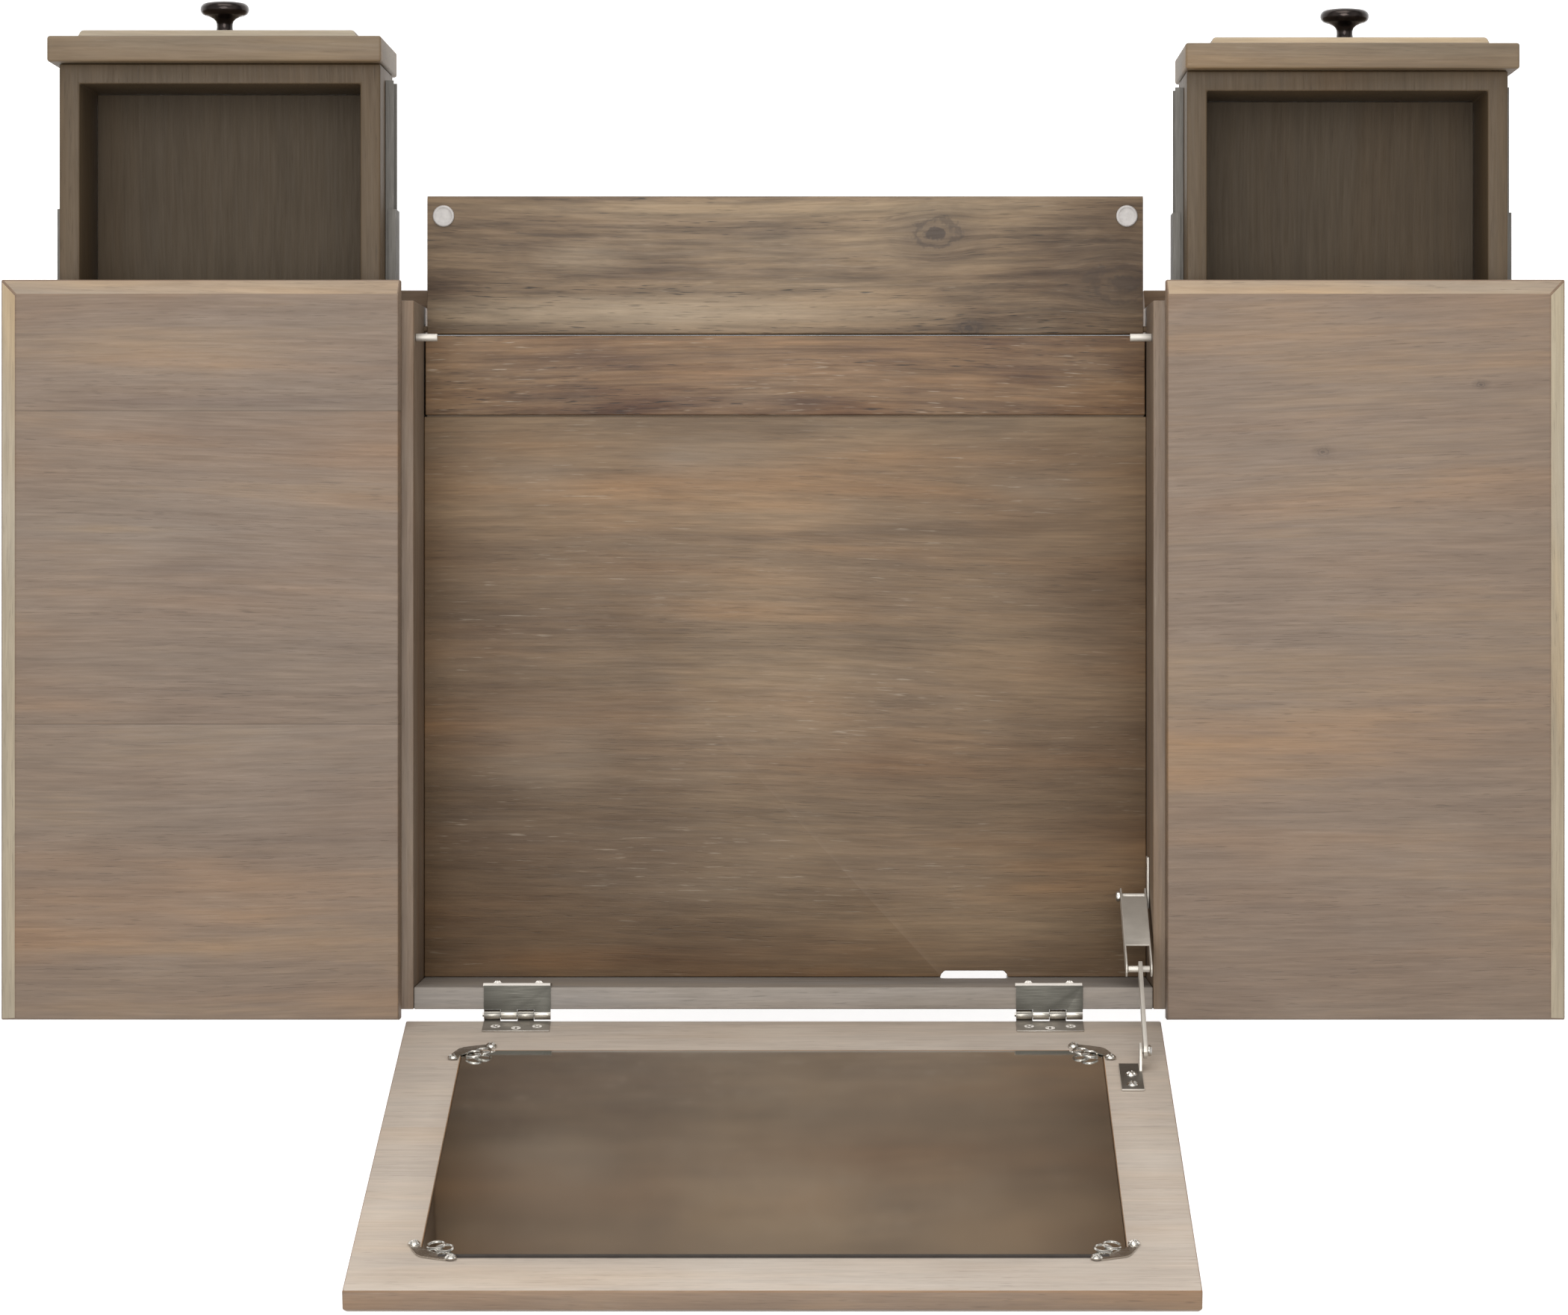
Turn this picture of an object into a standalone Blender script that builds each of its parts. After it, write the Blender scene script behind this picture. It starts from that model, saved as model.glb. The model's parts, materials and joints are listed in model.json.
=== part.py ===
"""Flip-top dressing-table desk: two drawer pedestals on tapered legs, a middle
compartment with a drop flap, and a lid that carries a mirror on its inner face.

Dimensions are millimetres; the mesh helpers turn them into metres.
X runs along the desk, the sitter is at -Y, Z is up from the ground.
"left" is the sitter's left (-X).  The lid stands open, the flap hangs down
level with the floor of the compartment, and both drawers are pulled out.
"""

import math

import bmesh
import bpy
from mathutils import Vector

for old in list(bpy.data.objects):
    bpy.data.objects.remove(old, do_unlink=True)

MM = 0.001
GAP = 0.3                       # clearance between pieces that touch

# Whole desk
HALF_WIDTH = 600.0
HEIGHT = 762.0                  # ground to the top boards
BOARD = 20.0                    # top boards, lid, flap, drawer fronts
TOP_FRONT = -215.2
TOP_BACK = 352.8
EDGE_RUN = 12.0                 # the broad chamfer on the show edges
EDGE_DROP = 6.0

# Pedestals
TOP_INNER = 294.0               # inner edge of each top board
INNER_FACE = 285.0              # compartment side of each inner side
INNER_BACK_FACE = 301.5
OUTER_SIDE = (569.5, 588.0)
CASE_FRONT = -200.0
CASE_BACK = 346.0
RIM = HEIGHT - 23.0             # rim that the closed lid lies over
BASE_TOP = HEIGHT - 175.0
BASE_BOTTOM = BASE_TOP - BOARD
BACK_PANEL = 12.0
FILLER = (INNER_BACK_FACE + GAP, 308.3)
FILLER_DEPTH = 20.0
FILLER_BOTTOM = HEIGHT - 76.0
LEG_TOP = 50.0
LEG_FOOT = 32.0
LEG_INSET = 5.0                 # from the base board's edges

# Compartment
FLOOR_TOP = HEIGHT - 128.0
FLOOR_THICK = 16.0
FLOOR_FRONT = -113.0
RAIL_FRONT = 329.0
RAIL_BOTTOM = HEIGHT - 160.0
STRIP_FRONT = -176.9
STRIP_BACK = -114.5
STRIP_HALF = 283.8
CLEAT = 14.0
CLEAT_DEPTH = 18.0
NOTCH = (-175.2, -122.7)        # cable notch at the floor's back edge
NOTCH_FRONT = 323.9
NOTCH_TOP = FLOOR_TOP + 10.0

# Flap
FLAP_HALF = 282.3
FLAP_BACK = -178.1
FLAP_LENGTH = 109.0
FLAP_AXIS_IN = 4.0              # axis below the face and in front of the back edge
FLAP_ROUND = 2.0
FLAP_PIN_RADIUS = 2.5
FLAP_PIN_END = 292.0
BUMPER_RADIUS = 8.5
BUMPER_THICK = 2.0
BUMPER_X = 269.5
BUMPER_REACH = 89.2             # from the flap's axis
STOP_RADIUS = 3.0
STOP_END = 268.0

# Drawers
FRONT_X = (309.9, 567.5)
FRONT_Z = (HEIGHT - 173.0, HEIGHT - 23.0)
FRONT_SHUT = -203.0             # border face of a shut drawer
PANEL_BORDER = 20.0
PANEL_RISE = 6.5
PANEL_SLOPE = 3.0
BOX_X = (311.7, 560.0)
BOX_TOP = HEIGHT - 38.0
BOX_HEIGHT = 115.0
BOX_WALL = 15.6
BOX_LENGTH = 483.0
BOTTOM_THICK = 6.0
BOTTOM_RAISE = 5.0
KNOB_Z = HEIGHT - 98.0
KNOB_RADIUS = 19.1
KNOB_REACH = 27.0
OUT = {"left": 195.6, "right": 201.1}    # how far each drawer stands out

# Three-member side slides
SLIDE_Z = BOX_TOP - 61.5
SLIDE_FRONT = -181.0
SLIDE_LENGTH = 450.0
MID_SETBACK = 7.5
SHEET = 1.2
CASE_MEMBER_HALF = 20.0
MID_MEMBER_HALF = 18.2
DRAWER_MEMBER_HALF = 16.4

# Lid, mirror and hinges
LID_HALF = 291.0
LID_LENGTH = 563.0
LID_OPEN = math.radians(104.25)
HINGE_Y = 350.4
HINGE_Z = HEIGHT - 25.0
LID_RISE = 5.0                  # lid's inner face above the hinge axis
MIRROR_HALF = 242.5
MIRROR_T = (69.0, 498.0)        # measured from the hinge edge
MIRROR_THICK = 4.0
MIRROR_SLACK = 1.2
HINGE_X = 205.0
HINGE_WIDTH = 51.6
KNUCKLE_RADIUS = 3.9
PIN_RADIUS = 1.6
PIN_HOLE = 2.0
LEAF = 1.0
LID_LEAF_LENGTH = 27.0
CASE_LEAF_DROP = 22.0
CLIP_REACH = 21.0               # from the mirror's corner to each screw
CLIP_OUT = 6.0
CLIP_EAR = 5.5
CLIP_THICK = 1.2

# Lid stay on the left side of the compartment
STAY_WALL_Y = 263.0
STAY_WALL_Z = HEIGHT - 90.0
LOWER_LINK = 110.0
UPPER_LINK = 96.6
STAY_ON_LID = 113.0             # along the lid from the hinge axis
STAY_OFF_AXIS = 10.0            # below the hinge axis with the lid shut
CHANNEL_X = (-282.6, -262.4)
CHANNEL_WALL = 1.2
CHANNEL_HALF = 6.0
CHANNEL_WEB_END = 84.0
ARM_X = (-275.0, -272.0)
ARM_HALF = 6.0
STAY_PIN = 2.5
STAY_HOLE = 3.0


# ---------------------------------------------------------------- helpers

def finish(name, colour, roughness, metallic=0.0):
    material = bpy.data.materials.new(name)
    material.use_nodes = True
    shader = material.node_tree.nodes["Principled BSDF"]
    shader.inputs["Base Color"].default_value = (*colour, 1.0)
    shader.inputs["Roughness"].default_value = roughness
    shader.inputs["Metallic"].default_value = metallic
    return material


TOP_WOOD = finish("top_wood", (0.305, 0.223, 0.161), 0.55)
INNER_WOOD = finish("inner_wood", (0.18, 0.122, 0.076), 0.6)
DRAWER_WOOD = finish("drawer_wood", (0.07, 0.053, 0.037), 0.65)
NICKEL = finish("nickel", (0.62, 0.6, 0.56), 0.3, 1.0)
BRONZE = finish("dark_bronze", (0.03, 0.024, 0.02), 0.35, 0.8)
GLASS = finish("mirror_glass", (0.86, 0.87, 0.87), 0.03, 1.0)
RUBBER = finish("bumper_rubber", (0.62, 0.57, 0.5), 0.7)


def body(name, place=(0.0, 0.0, 0.0), parent=None, turn=0.0):
    """An empty on a joint's axis; what moves together is parented to it."""
    empty = bpy.data.objects.new(name, None)
    bpy.context.scene.collection.objects.link(empty)
    empty.parent = parent
    empty.location = Vector(place) * MM
    empty.rotation_euler = (turn, 0.0, 0.0)
    return empty


def place_mesh(name, bm, owner, material):
    """Turn a bmesh in millimetres into an object in its owner's frame."""
    bmesh.ops.scale(bm, vec=(MM, MM, MM), verts=bm.verts)
    bmesh.ops.recalc_face_normals(bm, faces=bm.faces)
    mesh = bpy.data.meshes.new(name)
    bm.to_mesh(mesh)
    bm.free()
    mesh.materials.append(material)
    piece = bpy.data.objects.new(name, mesh)
    bpy.context.scene.collection.objects.link(piece)
    piece.parent = owner
    return piece


def loft(name, rings, owner, material):
    """Bridge rings with the same number of points, and cap both ends."""
    bm = bmesh.new()
    loops = [[bm.verts.new(point) for point in ring] for ring in rings]
    for lower, upper in zip(loops, loops[1:]):
        for i in range(len(lower)):
            j = (i + 1) % len(lower)
            bm.faces.new((lower[i], lower[j], upper[j], upper[i]))
    bm.faces.new(loops[0])
    bm.faces.new(loops[-1])
    return place_mesh(name, bm, owner, material)


def on_axis(axis, along, a, b):
    """A point from its place along an axis and its two other coordinates."""
    return {"X": (along, a, b), "Y": (a, along, b), "Z": (a, b, along)}[axis]


def prism(name, outline, span, axis, owner, material):
    """Extrude an outline along X (y, z), Y (x, z) or Z (x, y)."""
    rings = [[on_axis(axis, end, a, b) for a, b in outline] for end in span]
    return loft(name, rings, owner, material)


def rectangle(a, b):
    return [(a[0], b[0]), (a[1], b[0]), (a[1], b[1]), (a[0], b[1])]


def circle(centre, radius, sides=16):
    steps = [2 * math.pi * i / sides for i in range(sides)]
    return [(centre[0] + radius * math.cos(t), centre[1] + radius * math.sin(t)) for t in steps]


def block(name, x, y, z, owner, material, eased=0.0):
    piece = prism(name, rectangle(x, y), z, "Z", owner, material)
    if eased:
        bevel = piece.modifiers.new("eased_edges", "BEVEL")
        bevel.width = eased * MM
        bevel.segments = 1
    return piece


def rod(name, centre, radius, span, axis, owner, material, sides=16):
    return prism(name, circle(centre, radius, sides), span, axis, owner, material)


def combine(piece, helper, operation):
    """Join a helper solid to a piece, or cut it away."""
    helper.hide_render = True
    helper.display_type = "WIRE"
    boolean = piece.modifiers.new(operation.lower(), "BOOLEAN")
    boolean.operation = operation
    boolean.object = helper
    return piece


def both(side, pair):
    """A pair of X values moved to one side of the desk, in rising order."""
    return tuple(sorted(side * value for value in pair))


def chamfered_board(name, x, y, z, inset, drop, owner, material):
    """A board whose upper face is smaller by inset: (-X, +X, -Y, +Y)."""
    left, right, front, back = inset
    upper = rectangle((x[0] + left, x[1] - right), (y[0] + front, y[1] - back))
    full = rectangle(x, y)
    levels = ((full, z[0]), (full, z[1] - drop), (upper, z[1]))
    rings = [[(a, b, height) for a, b in outline] for outline, height in levels]
    return loft(name, rings, owner, material)


# ------------------------------------------------------------------- case

def make_pedestal(name, side, case):
    edge = 1.0
    inset = (edge, EDGE_RUN, EDGE_RUN, edge)
    if side < 0:
        inset = (EDGE_RUN, edge, EDGE_RUN, edge)
    carcass_z = (BASE_TOP + GAP, HEIGHT - BOARD - GAP)
    chamfered_board(f"{name}_top", both(side, (TOP_INNER, HALF_WIDTH)), (TOP_FRONT, TOP_BACK),
                    (HEIGHT - BOARD, HEIGHT), inset, EDGE_DROP, case, TOP_WOOD)
    chamfered_board(f"{name}_base_board", both(side, (INNER_FACE, HALF_WIDTH)),
                    (TOP_FRONT, TOP_BACK), (BASE_BOTTOM, BASE_TOP), inset, EDGE_DROP, case, TOP_WOOD)
    step = TOP_INNER + GAP
    profile = [(INNER_FACE, carcass_z[0]), (INNER_BACK_FACE, carcass_z[0]),
               (INNER_BACK_FACE, carcass_z[1]), (step, carcass_z[1]), (step, RIM), (INNER_FACE, RIM)]
    wall = prism(f"{name}_inner_side", [(side * x, z) for x, z in profile],
                 (CASE_FRONT, CASE_BACK), "Y", case, INNER_WOOD)
    pin_hole = rod(f"{name}_pivot_hole", flap_axis(), FLAP_PIN_RADIUS + GAP,
                   both(side, (INNER_FACE - 5.0, FLAP_PIN_END + 1.0)), "X", case, INNER_WOOD, 12)
    combine(wall, pin_hole, "DIFFERENCE")
    block(f"{name}_outer_side", both(side, OUTER_SIDE), (CASE_FRONT, CASE_BACK), carcass_z,
          case, TOP_WOOD)
    block(f"{name}_back_panel", both(side, (INNER_BACK_FACE + GAP, OUTER_SIDE[0] - GAP)),
          (CASE_BACK - BACK_PANEL, CASE_BACK), carcass_z, case, INNER_WOOD)
    block(f"{name}_filler_stile", both(side, FILLER), (CASE_FRONT, CASE_FRONT + FILLER_DEPTH),
          (FILLER_BOTTOM, carcass_z[1]), case, TOP_WOOD)
    stop_y = FLAP_BACK + BUMPER_THICK + 2 * GAP + STOP_RADIUS + GAP
    rod(f"{name}_stop_pin", (stop_y, flap_axis()[1] + BUMPER_REACH), STOP_RADIUS,
        both(side, (STOP_END, INNER_FACE - GAP)), "X", case, NICKEL, 12)


def make_leg(name, side, y_outer, y_sign, case):
    """A square leg whose two inner faces taper to the foot."""
    x_outer = HALF_WIDTH - LEG_INSET
    rings = []
    for width, height in ((LEG_FOOT, 0.0), (LEG_TOP, BASE_BOTTOM - GAP)):
        x = both(side, (x_outer - width, x_outer))
        y = tuple(sorted((y_outer, y_outer + y_sign * width)))
        rings.append([(a, b, height) for a, b in rectangle(x, y)])
    loft(name, rings, case, TOP_WOOD)


def make_compartment(case):
    half = INNER_FACE - GAP
    rail = block("rear_rail", (-half, half), (RAIL_FRONT, CASE_BACK), (RAIL_BOTTOM, RIM),
                 case, INNER_WOOD)
    floor = block("compartment_floor", (-half, half), (FLOOR_FRONT, RAIL_FRONT - GAP),
                  (FLOOR_TOP - FLOOR_THICK, FLOOR_TOP), case, INNER_WOOD)
    notch = block("cable_notch", NOTCH, (NOTCH_FRONT, CASE_BACK + 20.0),
                  (RAIL_BOTTOM - 20.0, NOTCH_TOP), case, INNER_WOOD, eased=3.0)
    combine(rail, notch, "DIFFERENCE")
    combine(floor, notch, "DIFFERENCE")
    block("floor_front_strip", (-STRIP_HALF, STRIP_HALF), (STRIP_FRONT, STRIP_BACK),
          (FLOOR_TOP - FLOOR_THICK, FLOOR_TOP), case, INNER_WOOD)
    make_floor_bearers(case, half)


def make_floor_bearers(case, half):
    """A cross rail under the strip with a cleat along each side."""
    z = (FLOOR_TOP - FLOOR_THICK - GAP - CLEAT_DEPTH, FLOOR_TOP - FLOOR_THICK - GAP)
    front = FLAP_BACK + GAP
    inner = half - CLEAT
    back = RAIL_FRONT - GAP
    outline = [(-half, front), (half, front), (half, back), (inner, back), (inner, STRIP_BACK),
               (-inner, STRIP_BACK), (-inner, back), (-half, back)]
    prism("floor_bearers", outline, z, "Z", case, INNER_WOOD)


# ------------------------------------------------------------------- flap

def flap_axis():
    return (FLAP_BACK - FLAP_AXIS_IN, FLOOR_TOP - FLAP_AXIS_IN)


def make_flap(flap):
    """The flap in its axis's frame, lying level; +Y is its back edge."""
    top = FLAP_AXIS_IN
    back = FLAP_AXIS_IN
    front = back - FLAP_LENGTH
    under = top - BOARD
    corner = [(back - FLAP_ROUND + FLAP_ROUND * math.cos(t), top - FLAP_ROUND + FLAP_ROUND * math.sin(t))
              for t in (math.pi / 2 * i / 4 for i in range(5))]
    outline = [(front, under), (back, under)] + corner
    outline += [(front + FLAP_ROUND, top), (front, top - FLAP_ROUND)]
    board = prism("flap_board", outline, (-FLAP_HALF, FLAP_HALF), "X", flap, INNER_WOOD)
    for name, side in (("left", -1), ("right", 1)):
        stub = rod(f"{name}_flap_stub", (0.0, 0.0), FLAP_PIN_RADIUS,
                   both(side, (FLAP_HALF - 10.0, FLAP_PIN_END)), "X", flap, NICKEL, 12)
        combine(board, stub, "UNION")
        rod(f"{name}_flap_bumper", (side * BUMPER_X, -BUMPER_REACH), BUMPER_RADIUS,
            (top + GAP, top + GAP + BUMPER_THICK), "Z", flap, RUBBER, 20)


# ---------------------------------------------------------------- drawers

def channel(name, x_web, x_lip, half, y, owner):
    """A slide member: a C section with its web at x_web, open towards x_lip."""
    toward = 1.0 if x_lip > x_web else -1.0
    inner = x_web + toward * SHEET
    lip = half - SHEET
    outline = [(x_web, -half), (x_lip, -half), (x_lip, -lip), (inner, -lip),
               (inner, lip), (x_lip, lip), (x_lip, half), (x_web, half)]
    return prism(name, [(x, SLIDE_Z + z) for x, z in outline], y, "Y", owner, NICKEL)


def make_slide(name, x_case, x_drawer, case, mid, drawer):
    """Three nested members between the carcass face and the drawer face."""
    toward = 1.0 if x_drawer > x_case else -1.0
    back = SLIDE_FRONT + SLIDE_LENGTH
    mid_front = SLIDE_FRONT + MID_SETBACK
    channel(f"{name}_case_member", x_case + toward * GAP, x_case + toward * 6.5,
            CASE_MEMBER_HALF, (SLIDE_FRONT, back), case)
    channel(f"{name}_mid_member", x_case + toward * 1.9, x_case + toward * 7.6,
            MID_MEMBER_HALF, (mid_front, back), mid)
    channel(f"{name}_drawer_member", x_drawer - toward * GAP, x_case + toward * 3.6,
            DRAWER_MEMBER_HALF, (mid_front, back), drawer)


def make_drawer_front(name, side, drawer):
    """A board with a raised panel that slopes up from a flat border."""
    x = both(side, FRONT_X)
    steps = ((0.0, FRONT_SHUT + BOARD), (0.0, FRONT_SHUT),
             (PANEL_BORDER, FRONT_SHUT), (PANEL_BORDER + PANEL_SLOPE, FRONT_SHUT - PANEL_RISE))
    rings = []
    for inset, y in steps:
        outline = rectangle((x[0] + inset, x[1] - inset), (FRONT_Z[0] + inset, FRONT_Z[1] - inset))
        rings.append([(a, y, b) for a, b in outline])
    loft(f"{name}_drawer_front", rings, drawer, TOP_WOOD)


def make_knob(name, side, drawer):
    """A mushroom knob turned about a line through the drawer front."""
    face = FRONT_SHUT - PANEL_RISE - GAP
    profile = ((9.0, 0.0), (9.0, 1.5), (6.8, 3.5), (6.2, 9.0), (8.0, 12.5), (14.0, 15.0),
               (KNOB_RADIUS - 0.8, 16.8), (KNOB_RADIUS, 18.6), (KNOB_RADIUS - 0.9, 20.6),
               (15.0, 23.6), (9.0, 26.1), (3.0, KNOB_REACH - GAP))
    centre = (side * sum(FRONT_X) / 2, KNOB_Z)
    rings = [[(a, face - reach, b) for a, b in circle(centre, radius, 24)]
             for radius, reach in profile]
    knob = loft(f"{name}_knob", rings, drawer, BRONZE)
    knob.data.shade_smooth()
    knob.data.set_sharp_from_angle(angle=math.radians(40))


def make_drawer(name, side, case, mid, drawer):
    make_drawer_front(name, side, drawer)
    make_knob(name, side, drawer)
    back_of_front = FRONT_SHUT + BOARD + GAP
    y = (back_of_front, back_of_front + BOX_LENGTH)
    z = (BOX_TOP - BOX_HEIGHT, BOX_TOP)
    box = block(f"{name}_drawer_box", both(side, BOX_X), y, z, drawer, DRAWER_WOOD)
    inside_x = both(side, (BOX_X[0] + BOX_WALL, BOX_X[1] - BOX_WALL))
    inside_y = (y[0] + BOX_WALL, y[1] - BOX_WALL)
    hollow = block(f"{name}_drawer_hollow", inside_x, inside_y, (z[0] - 10.0, z[1] + 10.0),
                   drawer, DRAWER_WOOD)
    combine(box, hollow, "DIFFERENCE")
    block(f"{name}_drawer_bottom", (inside_x[0] + GAP, inside_x[1] - GAP),
          (inside_y[0] + GAP, inside_y[1] - GAP),
          (z[0] + BOTTOM_RAISE, z[0] + BOTTOM_RAISE + BOTTOM_THICK), drawer, DRAWER_WOOD)
    make_slide(f"{name}_inner_slide", side * INNER_BACK_FACE, side * BOX_X[0], case, mid, drawer)
    make_slide(f"{name}_outer_slide", side * OUTER_SIDE[0], side * BOX_X[1], case, mid, drawer)


# -------------------------------------------------------------------- lid

def lid_y(t):
    """Y in the lid's frame, from the distance to its hinge edge."""
    return -t


def make_lid(lid):
    """The lid in its hinge axis's frame, lying shut."""
    board = chamfered_board("lid_board", (-LID_HALF, LID_HALF), (-LID_LENGTH, 0.0),
                            (LID_RISE, LID_RISE + BOARD), (1.0, 1.0, EDGE_RUN, 1.0),
                            EDGE_DROP, lid, TOP_WOOD)
    recess_x = MIRROR_HALF + MIRROR_SLACK / 2
    recess = block("mirror_recess", (-recess_x, recess_x),
                   (lid_y(MIRROR_T[1] + MIRROR_SLACK), lid_y(MIRROR_T[0] - GAP)),
                   (LID_RISE - 5.0, LID_RISE + MIRROR_THICK + 2 * GAP), lid, TOP_WOOD)
    combine(board, recess, "DIFFERENCE")
    block("mirror", (-MIRROR_HALF, MIRROR_HALF), (lid_y(MIRROR_T[1]), lid_y(MIRROR_T[0])),
          (LID_RISE + GAP, LID_RISE + GAP + MIRROR_THICK), lid, GLASS)
    for name, side in (("left", -1), ("right", 1)):
        make_clip(f"{name}_lower_clip", side, MIRROR_T[0], 1, lid)
        make_clip(f"{name}_upper_clip", side, MIRROR_T[1], -1, lid)


def make_clip(name, side, t_corner, inward, lid):
    """A corner clip: a screw ear on each side of the corner, a tongue on the glass."""
    def ear(u, v, start):
        turns = [start + math.pi * i / 4 for i in range(5)]
        return [(u + CLIP_EAR * math.cos(a), v + CLIP_EAR * math.sin(a)) for a in turns]

    slant = -math.pi / 4
    outline = ear(CLIP_OUT, CLIP_REACH, slant) + ear(-CLIP_REACH, -CLIP_OUT, slant + math.pi)
    tongue_waist = (-7.0, 7.0)
    outline.insert(5, (tongue_waist[0] - 10.0, tongue_waist[1] + 10.0))
    points = [(side * (MIRROR_HALF + u), lid_y(t_corner + inward * v)) for u, v in outline]
    prism(name, points, (LID_RISE - GAP - CLIP_THICK, LID_RISE - GAP), "Z", lid, NICKEL)


def knuckle_spans(x_centre, first):
    """Every other quarter of the hinge's width, with a little end clearance."""
    quarter = HINGE_WIDTH / 4
    start = x_centre - HINGE_WIDTH / 2
    return [(start + quarter * i + 0.15, start + quarter * (i + 1) - 0.15) for i in (first, first + 2)]


def make_hinge(name, x_centre, case, lid):
    """A butt hinge whose case leaf folds over the rear rail."""
    x = (x_centre - HINGE_WIDTH / 2, x_centre + HINGE_WIDTH / 2)
    clear = KNUCKLE_RADIUS + GAP
    top = RIM + GAP
    inside = RAIL_FRONT - GAP
    outline = [(HINGE_Y - clear, top), (HINGE_Y - clear, top + LEAF), (inside - LEAF, top + LEAF),
               (inside - LEAF, RIM - CASE_LEAF_DROP), (inside, RIM - CASE_LEAF_DROP), (inside, top)]
    leaf = prism(f"{name}_hinge_case_leaf", outline, x, "X", case, NICKEL)
    for i, span in enumerate(knuckle_spans(x_centre, 0)):
        tab = block(f"{name}_case_tab_{i}", span, (HINGE_Y - clear - 1.0, HINGE_Y - 1.0),
                    (top, top + LEAF), case, NICKEL)
        barrel = rod(f"{name}_case_barrel_{i}", (HINGE_Y, HINGE_Z), KNUCKLE_RADIUS, span, "X",
                     case, NICKEL)
        combine(leaf, tab, "UNION")
        combine(leaf, barrel, "UNION")
    pin = rod(f"{name}_pin", (HINGE_Y, HINGE_Z), PIN_RADIUS, (x[0] + 1.0, x[1] + 1.0), "X",
              case, NICKEL, 12)
    combine(leaf, pin, "UNION")

    z = (LID_RISE - GAP - LEAF, LID_RISE - GAP)
    plate = block(f"{name}_hinge_lid_leaf", x, (lid_y(LID_LEAF_LENGTH), lid_y(clear)), z, lid, NICKEL)
    for i, span in enumerate(knuckle_spans(x_centre, 1)):
        tab = block(f"{name}_lid_tab_{i}", span, (lid_y(clear + 1.0), -0.5), z, lid, NICKEL)
        barrel = rod(f"{name}_lid_barrel_{i}", (0.0, 0.0), KNUCKLE_RADIUS, span, "X", lid, NICKEL)
        combine(plate, tab, "UNION")
        combine(plate, barrel, "UNION")
    bore = rod(f"{name}_bore", (0.0, 0.0), PIN_HOLE, (x[0] - 5.0, x[1] + 5.0), "X", lid, NICKEL, 12)
    combine(plate, bore, "DIFFERENCE")


# -------------------------------------------------------------------- stay

def lid_point(along, below, opened):
    """Case coordinates of a point on the lid: along it and below its axis."""
    c, s = math.cos(opened), math.sin(opened)
    return (HINGE_Y - along * c - below * s, HINGE_Z + along * s - below * c)


def elbow(wall, on_lid):
    """Where the two links meet: the crossing on the rear side of the line."""
    dy, dz = on_lid[0] - wall[0], on_lid[1] - wall[1]
    reach = math.hypot(dy, dz)
    along = (LOWER_LINK ** 2 - UPPER_LINK ** 2 + reach ** 2) / (2 * reach)
    off = -math.sqrt(max(LOWER_LINK ** 2 - along ** 2, 0.0))
    return (wall[0] + (along * dy + off * dz) / reach, wall[1] + (along * dz - off * dy) / reach)


def link_angles(opened):
    """The lower link's angle from A to B and the upper one's from Q to B."""
    wall = (STAY_WALL_Y, STAY_WALL_Z)
    on_lid = lid_point(STAY_ON_LID, STAY_OFF_AXIS, opened)
    bend = elbow(wall, on_lid)
    lower = math.atan2(bend[1] - wall[1], bend[0] - wall[0])
    upper = math.atan2(bend[1] - on_lid[1], bend[0] - on_lid[0])
    return lower, upper


def make_lower_link(link):
    """A channel along +Y from its wall pivot; the web stops short of the elbow."""
    ends = (-CHANNEL_HALF - 1.0, LOWER_LINK + CHANNEL_HALF)
    web = block("stay_lower_link", CHANNEL_X, (10.0, CHANNEL_WEB_END),
                (CHANNEL_HALF - CHANNEL_WALL, CHANNEL_HALF), link, NICKEL)
    outline = rounded_bar(ends, CHANNEL_HALF)
    walls = ((CHANNEL_X[0], CHANNEL_X[0] + CHANNEL_WALL), (CHANNEL_X[1] - CHANNEL_WALL, CHANNEL_X[1]))
    for i, span in enumerate(walls):
        combine(web, prism(f"channel_wall_{i}", outline, span, "X", link, NICKEL), "UNION")
    hole = rod("stay_wall_hole", (0.0, 0.0), STAY_HOLE, (CHANNEL_X[0] - 3.0, CHANNEL_X[1] + 3.0),
               "X", link, NICKEL, 12)
    combine(web, hole, "DIFFERENCE")


def rounded_bar(ends, half):
    """The outline of a flat bar with half-round ends."""
    first, last = ends[0] + half, ends[1] - half
    turns = [math.pi * i / 6 for i in range(7)]
    near = [(first - half * math.sin(t), half * math.cos(t)) for t in turns]
    far = [(last + half * math.sin(t), -half * math.cos(t)) for t in turns]
    return near + far


def make_upper_link(link):
    """A flat arm along +Y from its pivot on the lid, with the elbow rivet."""
    arm = prism("stay_upper_link", rounded_bar((-ARM_HALF, UPPER_LINK + ARM_HALF), ARM_HALF),
                ARM_X, "X", link, NICKEL)
    rivet_span = (CHANNEL_X[0] + CHANNEL_WALL + 2 * GAP, CHANNEL_X[1] - CHANNEL_WALL - 2 * GAP)
    rivet = rod("elbow_rivet", (UPPER_LINK, 0.0), STAY_PIN, rivet_span, "X", link, NICKEL, 12)
    combine(arm, rivet, "UNION")
    hole = rod("stay_lid_hole", (0.0, 0.0), STAY_HOLE, (ARM_X[0] - 3.0, ARM_X[1] + 3.0), "X",
               link, NICKEL, 12)
    combine(arm, hole, "DIFFERENCE")


def make_wall_bracket(case):
    wall_x = -INNER_FACE
    plate_y = (STAY_WALL_Y - 31.0, STAY_WALL_Y + 9.0)
    plate = block("stay_wall_bracket", (wall_x + GAP, wall_x + GAP + 1.5), plate_y,
                  (STAY_WALL_Z - 10.0, STAY_WALL_Z + 10.0), case, NICKEL)
    pin = rod("stay_wall_pin", (STAY_WALL_Y, STAY_WALL_Z), STAY_PIN,
              (wall_x + GAP + 0.5, CHANNEL_X[1] + 1.5), "X", case, NICKEL, 12)
    combine(plate, pin, "UNION")


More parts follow.
